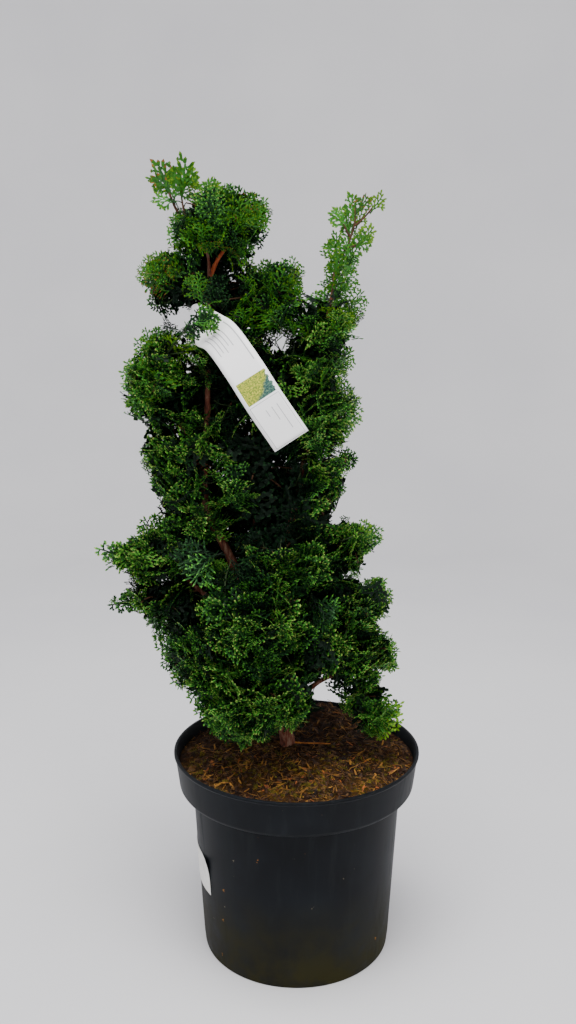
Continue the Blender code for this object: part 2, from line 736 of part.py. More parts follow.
def make_core(crown, mass, middle, chance):
    """The dense inside of a mass: a lumpy ball grown out from its middle until something is in the way."""
    work = bmesh.new()
    bmesh.ops.create_cube(work, size=2)
    bmesh.ops.subdivide_edges(work, edges=work.edges, cuts=1, use_grid_fill=True)
    bmesh.ops.triangulate(work, faces=work.faces)
    work.verts.ensure_lookup_table()
    twist = Matrix.Rotation(chance.random() * math.pi, 3, Vector((0.3, 0.5, 0.8)))
    ways = [mass.turn @ Vector(np.array(twist @ v.co.normalized()) * mass.half) for v in work.verts]
    sizes = np.arange(0.06, CORE_SIZE, 0.04)
    free = crown.clear(mass, [middle + way * size for way in ways for size in sizes]).reshape(len(ways), -1)
    if not free[:, 1].all():
        work.free()
        return None
    first_block = np.where(free.all(axis=1), len(sizes), free.argmin(axis=1))
    facing_out = np.array([max(0, way.normalized().dot(mass.outward)) for way in ways])
    if mass.free_all_round:
        facing_out[:] = 0.6
    reach = np.minimum(sizes[np.maximum(first_block - 1, 0)], CORE_SIZE - CORE_SETBACK * facing_out)
    reach *= np.array([chance.uniform(0.82, 1.0) for _ in reach])
    corners = np.array([[v.index for v in face.verts] for face in work.faces])
    weights = np.array([(i, j, 4 - i - j) for i in range(5) for j in range(5 - i)]) / 4
    for _ in range(24):
        places = np.array(middle) + np.array([tuple(way) for way in ways]) * reach[:, None]
        samples = np.einsum("wk,fkc->fwc", weights, places[corners])
        good = crown.clear(mass, samples.reshape(-1, 3)).reshape(len(corners), -1).all(axis=1)
        if good.all():
            break
        reach[np.unique(corners[~good])] *= 0.9
    for vertex, place in zip(work.verts, places):
        vertex.co = place
    return work


def grow_spray(crown, mass, feet, direction, chance):
    """One twig with its spray, the largest that fits, or None where none would stay in the space.

    A spray climbs and leans out from the mass. Its flat side faces mostly outwards, and in a thin
    mass it faces the front.
    """
    outward = (mass.surface(direction) - mass.centre).normalized()
    climb = UP - outward * outward.dot(UP)
    climb += outward.orthogonal() * 0.05
    climb.rotate(Matrix.Rotation(chance.uniform(-0.9, 0.9), 3, outward))
    climb.normalize()
    facing = outward if len(feet) == 1 else Vector((0, -1, 0))
    wander = chance.uniform(-0.8, 0.8)
    for share, length, lean in SPRAY_TRIES:
        root = mass.centre + (mass.surface(direction) - mass.centre) * share
        heading = (outward * lean + climb * (1 - lean)).normalized()
        foot = min(feet, key=lambda place: (place - root).length + 0.5 * (place - feet[0]).length)
        for turn in (wander, wander + 0.6, wander - 0.6, wander + 1.5):
            frame = spray_frame(root, heading, facing, turn, length)
            outline = spray_outline(SPRAY_TEETH)
            edge = [frame @ Vector((x, y, z)) for x, y in outline for z in (-0.5, 0.5)]
            inner = [frame @ Vector((x * f, y * f, 0)) for x, y in outline for f in (0.2, 0.4, 0.6, 0.8)]
            twig = [foot.lerp(root, i / 8) for i in range(9)]
            if crown.room_for(mass, edge + inner + twig):
                return foot, root + heading * (length * SPRAY_SINK), frame
    return None


def grow_mass(crown, mass, template, collection, material):
    """Grows one mass and fuses it: its stem, a core if it is dense, and twigs that end in flat sprays."""
    chance = random.Random(f"{SEED} {mass.name}")
    foot, middle = crown.stems[mass.name]
    carrier, share = mass.carrier
    start = foot if share == 1.0 else crown.limbs[carrier].at(share)[0]
    rise = (middle - start).normalized()
    head = middle + rise * (0.6 * max(mass.half) if mass.is_thin else 0.002)
    stem = spike(start, head, STEM_RADIUS, TWIG_RADIUS if mass.is_thin else STEM_RADIUS, 4)
    base = add_object(mass.name, bpy.data.meshes.new(mass.name), collection, material)
    stem.to_mesh(base.data)
    stem.free()
    if share != 1.0:
        subtract(base, carrier_seat(crown.limbs, carrier, collection))
    feet = [foot.lerp(head, share) for share in (0.35, 0.55, 0.75, 0.93)] if mass.is_thin else [middle]
    core = None if mass.is_thin else make_core(crown, mass, middle, chance)
    pieces = [core] if core else []
    for direction in spray_directions(mass, chance):
        grown = grow_spray(crown, mass, feet, direction, chance)
        if grown is None:
            continue
        place, end, frame = grown
        pieces.append(spike(place - (end - place).normalized() * 0.0005, end, TWIG_RADIUS, TWIG_RADIUS * 0.7))
        blade = bmesh.new()
        blade.from_mesh(template)
        bmesh.ops.transform(blade, matrix=frame, verts=blade.verts)
        pieces.append(blade)
    fuse(base, pieces)


def fuse(base, pieces):
    """One Boolean union of closed pieces with the base, applied, with the pieces then removed."""
    joined = new_collection(base.name + "_pieces")
    for i, piece in enumerate(pieces):
        bmesh.ops.recalc_face_normals(piece, faces=piece.faces)
        mesh = bpy.data.meshes.new(f"{base.name}_{i}")
        piece.to_mesh(mesh)
        piece.free()
        add_object(mesh.name, mesh, joined)
    union = base.modifiers.new("join", "BOOLEAN")
    union.operation = "UNION"
    union.operand_type = "COLLECTION"
    union.collection = joined
    for union.solver in ("EXACT", "MANIFOLD"):
        mesh = evaluated_mesh(base, base.name)
        if is_closed(mesh):
            break
    keep_largest_body(base, mesh)
    for piece in list(joined.objects):
        bpy.data.objects.remove(piece)
    bpy.data.collections.remove(joined)


def main():
    clear_scene()
    parts = new_collection("potted_hinoki_cypress")
    cutters = new_collection("cutters")
    plastic = finish("pot plastic", "2B3035", 0.45)
    peat = finish("peat and bark soil", "3A2A18", 0.95)
    bark = finish("red-brown bark", "5A3322", 0.85)
    film = finish("white tag film", "E9E6E2", 0.4)
    green = finish("scale-leaf green", "2F5A1E", 0.6)
    make_pot(parts, cutters, plastic)
    make_soil(parts, peat)
    limbs = grow_limbs()
    make_limbs(limbs, parts, bark)
    tag_points = make_tag(parts, film)
    crown = Crown(limbs, tag_points)
    template = spray_template(parts)
    for mass in crown.masses:
        grow_mass(crown, mass, template, parts, green)


main()
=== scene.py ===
# %% [markdown]
# # Potted hinoki cypress
# The real plant is a young conifer, about 0.8 m tall, in a black nursery pot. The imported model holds
# its pot, soil, limbs, tag and masses of foliage as plain solids. This script keeps those places
# and sizes and gives every part its finished look: moulded plastic, peat with wood chips, flaking
# red bark, and thousands of small flat sprays of scale leaves.

import math
import random

import bmesh
import bpy
import numpy as np
from mathutils import Matrix, Vector, noise


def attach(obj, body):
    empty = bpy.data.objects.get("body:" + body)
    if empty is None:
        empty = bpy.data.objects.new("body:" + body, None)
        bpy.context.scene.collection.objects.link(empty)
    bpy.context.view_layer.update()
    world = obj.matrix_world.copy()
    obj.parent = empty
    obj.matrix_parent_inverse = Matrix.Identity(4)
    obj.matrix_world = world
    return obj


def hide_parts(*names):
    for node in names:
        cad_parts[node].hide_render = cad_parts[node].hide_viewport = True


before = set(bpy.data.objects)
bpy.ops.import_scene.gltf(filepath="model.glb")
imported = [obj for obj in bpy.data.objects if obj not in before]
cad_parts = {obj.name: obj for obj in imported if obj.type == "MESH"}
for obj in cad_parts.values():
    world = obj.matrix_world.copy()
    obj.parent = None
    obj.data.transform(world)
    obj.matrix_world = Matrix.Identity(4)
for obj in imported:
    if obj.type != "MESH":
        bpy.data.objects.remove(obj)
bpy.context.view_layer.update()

# %% [markdown]
# ## Small tools
# Colours are written as the hex values that one reads off a screen, and one function turns them to
# the linear values that a shader takes. One more function adds any node with its settings and links,
# for shaders and Geometry Nodes alike, so each tree below reads as a list of steps. Patterns take
# their scale from a size in millimetres.

# %% Colours and nodes
UP = Vector((0, 0, 1))
GOLDEN_ANGLE = math.pi * (3 - math.sqrt(5))


def linear_colour(hex_colour):
    """An sRGB hex colour as linear red, green, blue and alpha."""
    shares = [int(hex_colour[i : i + 2], 16) / 255 for i in (0, 2, 4)]
    return (*[s / 12.92 if s <= 0.04045 else ((s + 0.055) / 1.055) ** 2.4 for s in shares], 1.0)


def set_inputs(tree, node, links):
    """Joins a node's inputs to sockets or to what other nodes give, or sets them to plain values."""
    for name, value in links.items():
        socket = node.inputs[name]
        if isinstance(value, bpy.types.Node):
            value = next(output for output in value.outputs if output.enabled)
        if isinstance(value, bpy.types.NodeSocket):
            tree.links.new(value, socket)
        elif socket.type == "RGBA":
            socket.default_value = linear_colour(value)
        else:
            socket.default_value = value


def add_node(tree, kind, links=None, stops=(), **settings):
    """Adds a node with its settings and links. A ramp's stops are positions with hex colours."""
    node = tree.nodes.new(kind)
    for name, value in settings.items():
        setattr(node, name, value)
    if stops:
        elements = node.color_ramp.elements
        while len(elements) < len(stops):
            elements.new(0.5)
        for element, (position, colour) in zip(elements, stops):
            element.position = position
            element.color = linear_colour(colour)
    set_inputs(tree, node, links or {})
    return node


def new_material(name, colour, roughness, ior=1.5):
    """A Principled material of one colour, with its tree and shader for what is added to it."""
    material = bpy.data.materials.new(name)
    material.use_nodes = True
    shader = material.node_tree.nodes["Principled BSDF"]
    set_inputs(material.node_tree, shader, {"Base Color": colour, "Roughness": roughness, "IOR": ior})
    return material, material.node_tree, shader


def blotches(place, size_mm, detail=3.0, roughness=0.55):
    """What a noise needs to have blotches of about this many millimetres."""
    return {"Vector": place, "Scale": 1000 / size_mm, "Detail": detail, "Roughness": roughness}


def span(value, low, high, least=0.0, most=1.0):
    """What a range needs to map low..high of a value to least..most."""
    return {"Value": value, "From Min": low, "From Max": high, "To Min": least, "To Max": most}


# %% [markdown]
# Meshes are made from arrays of points and faces. A Geometry Nodes tree takes named inputs, and its
# result is turned into a plain mesh straight away, so nothing is left to evaluate later and every
# finished piece sits at the origin with its place in its mesh.

# %% Meshes and Geometry Nodes
def mesh_object(name, points, faces=(), edges=(), materials=(), smooth=False):
    """A mesh object from points and faces or edges, in the shared frame."""
    mesh = bpy.data.meshes.new(name)
    mesh.from_pydata([tuple(p) for p in points], list(edges), [tuple(f) for f in faces])
    for material in materials:
        mesh.materials.append(material)
    mesh.update()
    if smooth:
        mesh.shade_smooth()
    made = bpy.data.objects.new(name, mesh)
    bpy.context.scene.collection.objects.link(made)
    return made


def grid_faces(rows, columns):
    """The faces of a grid with this many faces each way, its points stored row by row."""
    wide = columns + 1
    corners = [r * wide + c for r in range(rows) for c in range(columns)]
    return [(i, i + 1, i + wide + 1, i + wide) for i in corners]


def ring_faces(rings, sides):
    """The faces of a tube of rings with this many sides each."""
    pairs = [(sides * r, c) for r in range(rings) for c in range(sides)]
    return [(i + c, i + (c + 1) % sides, i + sides + (c + 1) % sides, i + sides + c) for i, c in pairs]


def table_rows(table):
    """The rows of a table in a string, as lists of words and numbers."""
    rows = [line.split() for line in table.strip().splitlines()]
    return [[word if word[0].isalpha() else float(word) for word in row] for row in rows]


def metres(numbers):
    """Millimetres as metres."""
    return [number / 1000 for number in numbers]


def triples(numbers):
    """Numbers taken three by three."""
    return [tuple(numbers[i : i + 3]) for i in range(0, len(numbers), 3)]


def set_attribute(obj, name, kind, values, domain="POINT"):
    """Stores one value for each point or face under a name that node trees can read."""
    attribute = obj.data.attributes.new(name, kind, domain)
    flat = np.asarray(values).ravel()
    attribute.data.foreach_set("vector" if kind == "FLOAT_VECTOR" else "value", flat)


def settle(obj):
    """Applies the object's modifiers to its mesh."""
    graph = bpy.context.evaluated_depsgraph_get()
    mesh = bpy.data.meshes.new_from_object(obj.evaluated_get(graph))
    mesh.name = obj.name
    obj.modifiers.clear()
    obj.data = mesh
    return obj


def title_of(label):
    """An input's name as it reads in the modifier."""
    return label.replace("_", " ").capitalize()


def new_tree(name, **sizes):
    """A Geometry Nodes tree with a named input for each size, and the outputs that give them."""
    kinds = {float: "NodeSocketFloat", int: "NodeSocketInt"}
    tree = bpy.data.node_groups.new(name, "GeometryNodeTree")
    for way in ("INPUT", "OUTPUT"):
        tree.interface.new_socket("Geometry", in_out=way, socket_type="NodeSocketGeometry")
    for label, value in sizes.items():
        kind = value if isinstance(value, str) else kinds[type(value)]
        socket = tree.interface.new_socket(title_of(label), in_out="INPUT", socket_type=kind)
        if kind != value:
            socket.default_value = value
    return tree, tree.nodes.new("NodeGroupInput").outputs


def end_tree(tree, placed, finish):
    """Makes the placed pieces real, sets their material and joins them to the tree's output."""
    real = add_node(tree, "GeometryNodeRealizeInstances", {0: placed})
    set_material = add_node(tree, "GeometryNodeSetMaterial", {"Geometry": real, "Material": finish})
    add_node(tree, "NodeGroupOutput", {"Geometry": set_material})


def run_tree(obj, tree, **values):
    """Runs a tree on an object with these inputs, set by their identifiers, and keeps the mesh."""
    wanted = {title_of(label): value for label, value in values.items()}
    modifier = obj.modifiers.new(tree.name, "NODES")
    modifier.node_group = tree
    for item in tree.interface.items_tree:
        if item.in_out == "INPUT" and item.name in wanted:
            modifier[item.identifier] = wanted[item.name]
    return settle(obj)


def hand_over(obj, slot, *nodes):
    """A finished piece: it rides on the one body and stands for its CAD nodes. Its slot is not used."""
    if nodes:
        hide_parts(*nodes)
    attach(obj, "root")
    print(f"{obj.name}: {sum(len(p.vertices) - 2 for p in obj.data.polygons)} triangles")
    return obj


# %% [markdown]
# ## Camera
# The photograph looks slightly down on the pot from about one metre away, with the wide lens of a
# phone. Its tilt and distance were fitted to the rim's ellipse and the pot's height.

# %% Camera
CAMERA_PLACE = (-0.0089, -0.995, 0.669)
CAMERA_PITCH = 11.36
CAMERA_LENS = 35.3

camera_data = bpy.data.cameras.new("camera")
camera_data.lens = CAMERA_LENS
camera_data.clip_start = 0.01
camera = bpy.data.objects.new("camera", camera_data)
camera.location = CAMERA_PLACE
camera.rotation_euler = (math.radians(90 - CAMERA_PITCH), 0, 0)
bpy.context.scene.collection.objects.link(camera)
bpy.context.scene.camera = camera
print("camera", CAMERA_PLACE, "pitch", CAMERA_PITCH)

# %% [markdown]
# ## The pot
# A nursery pot is injection moulded from recycled black polypropylene: a thin wall, a wide band under
# a rolled lip, and a body that tapers to a rounded foot. It is a solid of revolution, so its profile
# is drawn once and turned by a Screw modifier. The drain holes are cut with a Boolean.

# %% Pot profile
POT_HEIGHT = 0.217
RIM_RADIUS = 0.129
BODY_TOP_RADIUS = 0.1095
BASE_RADIUS = 0.0995
BAND_BOTTOM = 0.178
FOOT_HEIGHT, FOOT_FLARE = 0.0105, 0.0006
WALL = 0.002
POT_STEPS = 160
DRAIN_HOLES = 8
DRAIN_RADIUS = 0.006
DRAIN_CIRCLE_RADIUS = 0.078
DRAIN_SIDES = 24


def rounded(corners, radius, steps=4):
    """A profile with each of its inner corners rounded."""
    points = [Vector(corners[0])]
    for before, corner, after in zip(corners, corners[1:], corners[2:]):
        before, corner, after = Vector(before), Vector(corner), Vector(after)
        back, ahead = before - corner, after - corner
        cut = min(radius, back.length * 0.45, ahead.length * 0.45)
        start, stop = corner + back.normalized() * cut, corner + ahead.normalized() * cut
        for i in range(steps + 1):
            t = i / steps
            points.append(start * (1 - t) ** 2 + corner * 2 * t * (1 - t) + stop * t**2)
    return points + [Vector(corners[-1])]


POT_OUTSIDE = [
    (RIM_RADIUS - 0.0026, POT_HEIGHT),
    (RIM_RADIUS, POT_HEIGHT),
    (RIM_RADIUS, POT_HEIGHT - 0.0026),
    (RIM_RADIUS - 0.0014, POT_HEIGHT - 0.0038),
    (RIM_RADIUS - 0.0055, BAND_BOTTOM + 0.0035),
    (RIM_RADIUS - 0.0080, BAND_BOTTOM),
    (BODY_TOP_RADIUS + 0.0022, BAND_BOTTOM - 0.0006),
    (BODY_TOP_RADIUS, BAND_BOTTOM - 0.0040),
    (BASE_RADIUS + FOOT_FLARE, FOOT_HEIGHT),
    (BASE_RADIUS, 0.0060),
    (BASE_RADIUS - 0.0005, 0.0),
    (BASE_RADIUS - 0.0060, 0.0),
    (BASE_RADIUS - 0.0085, 0.0012),
]
POT_INSIDE = [
    (BASE_RADIUS - WALL - 0.003, WALL),
    (BASE_RADIUS - WALL, WALL + 0.003),
    (BODY_TOP_RADIUS - WALL, BAND_BOTTOM - 0.001),
    (RIM_RADIUS - 0.0105, BAND_BOTTOM + WALL),
    (RIM_RADIUS - 0.0075, BAND_BOTTOM + 0.005),
    (RIM_RADIUS - 0.0046, POT_HEIGHT - 0.003),
]


def turned(name, profile, materials, steps=POT_STEPS):
    """A solid of revolution about the pot's axis, with its normals outwards."""
    edges = [(i, i + 1) for i in range(len(profile) - 1)]
    guide = mesh_object(name, [(p[0], 0, p[1]) for p in profile], edges=edges)
    screw = guide.modifiers.new("turn", "SCREW")
    screw.steps = screw.render_steps = steps
    screw.use_merge_vertices = True
    screw.merge_threshold = 1e-5
    settle(guide)
    work = bmesh.new()
    work.from_mesh(guide.data)
    bmesh.ops.remove_doubles(work, verts=work.verts, dist=1e-6)
    bmesh.ops.recalc_face_normals(work, faces=work.faces)
    work.to_mesh(guide.data)
    work.free()
    for material in materials:
        guide.data.materials.append(material)
    guide.data.shade_smooth()
    guide.data.set_sharp_from_angle(angle=math.radians(40))
    return guide


# %% [markdown]
# The plastic is polypropylene with carbon black: a satin skin, faintly mottled by the flow of the
# melt. Dust and a green film of algae dull it low down, and watering leaves specks of peat on it.

# %% Pot plastic
POT_SPECULAR = 0.10
POT_SKIN = ((0.30, "0B0D10"), (0.55, "101317"), (0.75, "15191D"))

# Specks of peat and dust: how far apart in mm, their size, how rare they are and their colour
POT_SPECKS = ((17, 0.085, 0.62, "9A6420"), (10, 0.060, 0.70, "77705C"))


def pot_plastic():
    """Black polypropylene: a satin skin with flow marks, dust, algae low down and specks of peat."""
    material, tree, shader = new_material("moulded_black_polypropylene", "14171B", 0.42, 1.45)
    place = add_node(tree, "ShaderNodeTexCoord").outputs["Object"]
    height = add_node(tree, "ShaderNodeSeparateXYZ", {"Vector": place}).outputs["Z"]
    flow = add_node(tree, "ShaderNodeTexNoise", blotches(place, 60, 4))
    skin = add_node(tree, "ShaderNodeValToRGB", {"Fac": flow}, stops=POT_SKIN)
    streaks = add_node(tree, "ShaderNodeMapping", {"Vector": place, "Scale": (1, 1, 0.12)})
    streaks = add_node(tree, "ShaderNodeTexNoise", blotches(streaks, 14, 5, 0.7))
    streaks = add_node(tree, "ShaderNodeMapRange", span(streaks, 0.52, 0.78))
    dust = add_node(tree, "ShaderNodeMapRange", span(streaks, 0, 1, 0, 0.22))
    dusty = add_node(tree, "ShaderNodeMix", {0: dust, 6: skin, 7: "3A3E3F"}, data_type="RGBA")
    low_down = add_node(tree, "ShaderNodeMapRange", span(height, 0.100, 0.010))
    patches = add_node(tree, "ShaderNodeTexNoise", blotches(place, 34, 5, 0.65))
    patches = add_node(tree, "ShaderNodeMapRange", span(patches, 0.30, 0.60))
    film = add_node(tree, "ShaderNodeMath", {0: low_down, 1: patches}, operation="MULTIPLY")
    green = add_node(tree, "ShaderNodeMapRange", span(film, 0, 1, 0, 0.80))
    colour = add_node(tree, "ShaderNodeMix", {0: green, 6: dusty, 7: "2B280D"}, data_type="RGBA")
    ragged = add_node(tree, "ShaderNodeTexNoise", {"Vector": place, "Scale": 420.0, "Detail": 2.0})
    links = {0: ragged.outputs["Color"], "Scale": 0.006}
    shaken = add_node(tree, "ShaderNodeVectorMath", links, operation="SCALE")
    stretched = add_node(tree, "ShaderNodeMapping", {"Vector": place, "Scale": (1, 1, 0.55)})
    speck_place = add_node(tree, "ShaderNodeVectorMath", {0: stretched, 1: shaken}, operation="ADD")
    for apart_mm, size, rarity, tint in POT_SPECKS:
        links = {"Vector": speck_place, "Scale": 1000 / apart_mm, "Randomness": 1.0}
        grains = add_node(tree, "ShaderNodeTexVoronoi", links).outputs
        chances = add_node(tree, "ShaderNodeSeparateColor", {"Color": grains["Color"]}).outputs
        wide = add_node(tree, "ShaderNodeMapRange", span(chances[1], 0, 1, size * 0.35, size))
        near = add_node(tree, "ShaderNodeMath", {0: grains["Distance"], 1: wide}, operation="LESS_THAN")
        rare = add_node(tree, "ShaderNodeMapRange", span(chances[0], rarity, rarity + 0.02))
        specks = add_node(tree, "ShaderNodeMath", {0: near, 1: rare}, operation="MULTIPLY")
        specks = add_node(tree, "ShaderNodeMapRange", span(specks, 0, 1, 0, 0.8))
        colour = add_node(tree, "ShaderNodeMix", {0: specks, 6: colour, 7: tint}, data_type="RGBA")
    dull = add_node(tree, "ShaderNodeMath", {0: film, 1: streaks}, operation="ADD")
    dull = add_node(tree, "ShaderNodeMapRange", span(dull, 0, 1.2, 0.46, 0.74))
    grain = add_node(tree, "ShaderNodeTexNoise", blotches(place, 1.6, 2))
    bumps = add_node(tree, "ShaderNodeBump", {"Height": grain, "Distance": 0.00005, "Strength": 0.6})
    links = {"Base Color": colour, "Roughness": dull, "Specular IOR Level": POT_SPECULAR}
    set_inputs(tree, shader, links | {"Normal": bumps})
    return material


# %% Make the pot
outside, inside = rounded(POT_OUTSIDE, 0.0014), rounded(POT_INSIDE, 0.002)
pot_profile = [Vector((0, 0.0012)), *reversed(outside), *reversed(inside), Vector((0, WALL))]
pot = turned("pot_moulded", pot_profile, [pot_plastic()])
for i in range(DRAIN_HOLES):
    angle = 2 * math.pi * (i + 0.5) / DRAIN_HOLES
    ring = [(math.cos(t), math.sin(t)) for t in np.linspace(0, 2 * math.pi, DRAIN_SIDES, endpoint=False)]
    middle = Vector((math.cos(angle), math.sin(angle), 0)) * DRAIN_CIRCLE_RADIUS
    sides = [middle + Vector((x * DRAIN_RADIUS, y * DRAIN_RADIUS, z)) for z in (-0.01, 0.01) for x, y in ring]
    lids = [tuple(range(DRAIN_SIDES - 1, -1, -1)), tuple(range(DRAIN_SIDES, 2 * DRAIN_SIDES))]
    drill = mesh_object(f"drill_{i}", sides, ring_faces(1, DRAIN_SIDES) + lids)
    cut = pot.modifiers.new(drill.name, "BOOLEAN")
    cut.object = drill
    cut.solver = "EXACT"
    settle(pot)
    bpy.data.objects.remove(drill)
hand_over(pot, "pot_plastic", "pot")

# %% [markdown]
# A bare paper label is stuck on the left of the pot, where it shows almost edge on. It follows the
# curved wall, with one corner that has come away from it.

# %% Pot label
LABEL_FROM, LABEL_TO = math.radians(158), math.radians(212)
LABEL_LOW, LABEL_HIGH = 0.078, 0.118
LABEL_THICKNESS = 0.0003
LABEL_LIFT = 0.0035
LABEL_COLUMNS, LABEL_ROWS = 40, 16


def pot_body_radius(height):
    """The body's outer radius at a height."""
    share = (height - FOOT_HEIGHT) / (BAND_BOTTOM - 0.004 - FOOT_HEIGHT)
    return BASE_RADIUS + FOOT_FLARE + (BODY_TOP_RADIUS - BASE_RADIUS - FOOT_FLARE) * share


def label_paper():
    """Coated white paper, a little grimy."""
    material, tree, shader = new_material("white_label_paper", "E4E2DC", 0.6, 1.45)
    place = add_node(tree, "ShaderNodeTexCoord").outputs["Object"]
    grime = add_node(tree, "ShaderNodeTexNoise", blotches(place, 9, 5, 0.7))
    grime = add_node(tree, "ShaderNodeMapRange", span(grime, 0.45, 0.75, 0, 0.5))
    colour = add_node(tree, "ShaderNodeMix", {0: grime, 6: "E6E4DF", 7: "B9B3A2"}, data_type="RGBA")
    fibres = add_node(tree, "ShaderNodeTexNoise", blotches(place, 2.5, 3))
    bumps = add_node(tree, "ShaderNodeBump", {"Height": fibres, "Distance": 0.00008, "Strength": 0.5})
    set_inputs(tree, shader, {"Base Color": colour, "Normal": bumps})
    return material


points = []
for row in range(LABEL_ROWS + 1):
    for column in range(LABEL_COLUMNS + 1):
        across, up = column / LABEL_COLUMNS, row / LABEL_ROWS
        angle = LABEL_FROM + (LABEL_TO - LABEL_FROM) * across
        z = LABEL_LOW + (LABEL_HIGH - LABEL_LOW) * up
        lifted = LABEL_LIFT * max(0, across - 0.80) / 0.20 * max(0, up - 0.35) / 0.65
        radius = pot_body_radius(z) + LABEL_THICKNESS + lifted * lifted / LABEL_LIFT
        points.append((radius * math.cos(angle), radius * math.sin(angle), z - 0.002 * across))
faces = grid_faces(LABEL_ROWS, LABEL_COLUMNS)
label = mesh_object("pot_label", points, faces, materials=[label_paper()], smooth=True)
wall = label.modifiers.new("paper", "SOLIDIFY")
wall.thickness = LABEL_THICKNESS
wall.offset = 1
settle(label)
hand_over(label, "tag")

# %% [markdown]
# ## The soil
# The pot is filled with peat and bark compost. It settles in a low dome, half a centimetre below the
# rim's level in the middle and a little over one centimetre at the edge. Its surface is a disc of rings
# that noise lifts and sinks by a few millimetres. On it lie wood chips, fibres, crumbs and tufts of
# moss, dealt out by one Geometry Nodes tree.

# %% Soil body
SOIL_EDGE_DROP = 0.012
SOIL_CROWN_DROP = 0.0045
SOIL_FLAT_RADIUS = 0.030
SOIL_EDGE_RADIUS = RIM_RADIUS - 0.0052
SOIL_RINGS, SOIL_SPOKES = 56, 200
TRUNK_FOOT = Vector((-0.010, 0.015))

# Depth of the soil's lumps, and how many of them a metre holds
SOIL_LUMPS = ((0.0030, 55), (0.0020, 140), (0.0010, 380))
BACK_RISE, BACK_RISE_RADIUS = 0.0125, 0.060
SOIL_GAP = 0.0004
SOIL_SIDE = [
    (BODY_TOP_RADIUS + 0.006, BAND_BOTTOM + 0.004),
    (BODY_TOP_RADIUS - WALL - SOIL_GAP, BAND_BOTTOM - 0.006),
    (BASE_RADIUS - WALL - 0.004, WALL + SOIL_GAP),
]


def soil_height(x, y):
    """The height of the soil's surface, its lumps included."""
    radius = math.hypot(x, y)
    share = max(0.0, (radius - SOIL_FLAT_RADIUS) / (SOIL_EDGE_RADIUS - SOIL_FLAT_RADIUS))
    dome = POT_HEIGHT - SOIL_CROWN_DROP - (SOIL_EDGE_DROP - SOIL_CROWN_DROP) * share**2
    back_rise = BACK_RISE * max(0, 1 - math.hypot(x - 0.030, y - 0.112) / BACK_RISE_RADIUS)
    spot = Vector((x, y, 0.3))
    lumps = sum(depth * noise.noise(spot * pitch) for depth, pitch in SOIL_LUMPS)
    near_edge = min(1.0, (SOIL_EDGE_RADIUS - radius) / 0.006)
    return dome + back_rise + lumps * max(near_edge, 0.35) - 0.0006


PEAT_BROWNS = ((0.32, "0A0502"), (0.48, "1E1008"), (0.60, "3A2008"), (0.72, "623E10"))
PEAT_GOLDS = ((0.36, "180E04"), (0.52, "442E06"), (0.66, "745412"))


def peat():
    """Wet peat is nearly black and matt, with brown bark dust and a golden film of moss here and there, shown
    only towards the front as painted light.
    """
    material, tree, shader = new_material("damp_peat_and_bark_compost", "2A1B10", 0.92, 1.25)
    place = add_node(tree, "ShaderNodeTexCoord").outputs["Object"]
    dust = add_node(tree, "ShaderNodeTexNoise", blotches(place, 5, 6, 0.75))
    brown = add_node(tree, "ShaderNodeValToRGB", {"Fac": dust}, stops=PEAT_BROWNS)
    moss = add_node(tree, "ShaderNodeTexNoise", blotches(place, 4, 6, 0.8))
    golden = add_node(tree, "ShaderNodeValToRGB", {"Fac": moss}, stops=PEAT_GOLDS)
    drifts = add_node(tree, "ShaderNodeTexNoise", blotches(place, 30, 3))
    drifts = add_node(tree, "ShaderNodeMapRange", span(drifts, 0.46, 0.60, 0, 0.8))
    y = add_node(tree, "ShaderNodeSeparateXYZ", {"Vector": place}).outputs["Y"]
    # The golden film fades out towards the back under the crown: partly moss, partly painted light on the front
    # of the soil
    front = add_node(tree, "ShaderNodeMapRange", span(y, 0.035, -0.045))
    moss_and_painted_light = add_node(tree, "ShaderNodeMath", {0: drifts, 1: front}, operation="MULTIPLY")
    colour = add_node(tree, "ShaderNodeMix", {0: moss_and_painted_light, 6: brown, 7: golden}, data_type="RGBA")
    crumbs = add_node(tree, "ShaderNodeTexNoise", blotches(place, 1.8, 5, 0.7))
    bumps = add_node(tree, "ShaderNodeBump", {"Height": crumbs, "Distance": 0.0012, "Strength": 1})
    set_inputs(tree, shader, {"Base Color": colour, "Normal": bumps})
    return material


points = [(0, 0, soil_height(0, 0))]
spokes = [2 * math.pi * spoke / SOIL_SPOKES for spoke in range(SOIL_SPOKES)]
for ring in range(1, SOIL_RINGS + 1):
    radius = SOIL_EDGE_RADIUS * (ring / SOIL_RINGS) ** 0.8
    for angle in spokes:
        x, y = radius * math.cos(angle), radius * math.sin(angle)
        points.append((x, y, soil_height(x, y)))
for radius, height in SOIL_SIDE:
    points += [(radius * math.cos(angle), radius * math.sin(angle), height) for angle in spokes]
points.append((0, 0, WALL + SOIL_GAP))
faces = [(0, 1 + s, 1 + (s + 1) % SOIL_SPOKES) for s in range(SOIL_SPOKES)]
for ring in range(SOIL_RINGS + 2):
    first = 1 + ring * SOIL_SPOKES
    for s in range(SOIL_SPOKES):
        after = (s + 1) % SOIL_SPOKES
        faces.append((first + s, first + SOIL_SPOKES + s, first + SOIL_SPOKES + after, first + after))
last = 1 + (SOIL_RINGS + 2) * SOIL_SPOKES
faces += [(last + s, len(points) - 1, last + (s + 1) % SOIL_SPOKES) for s in range(SOIL_SPOKES)]
soil = mesh_object("soil_compost", points, faces, materials=[peat()], smooth=True)
hand_over(soil, "soil", "soil")

# %% [markdown]
# The litter is scattered by Geometry Nodes on a copy of the soil's top. The tree picks one of a few
# small shapes at each point, turns and sizes it at random from a fixed seed, lays it on the surface,
# and ends by making the instances real and giving them their material.

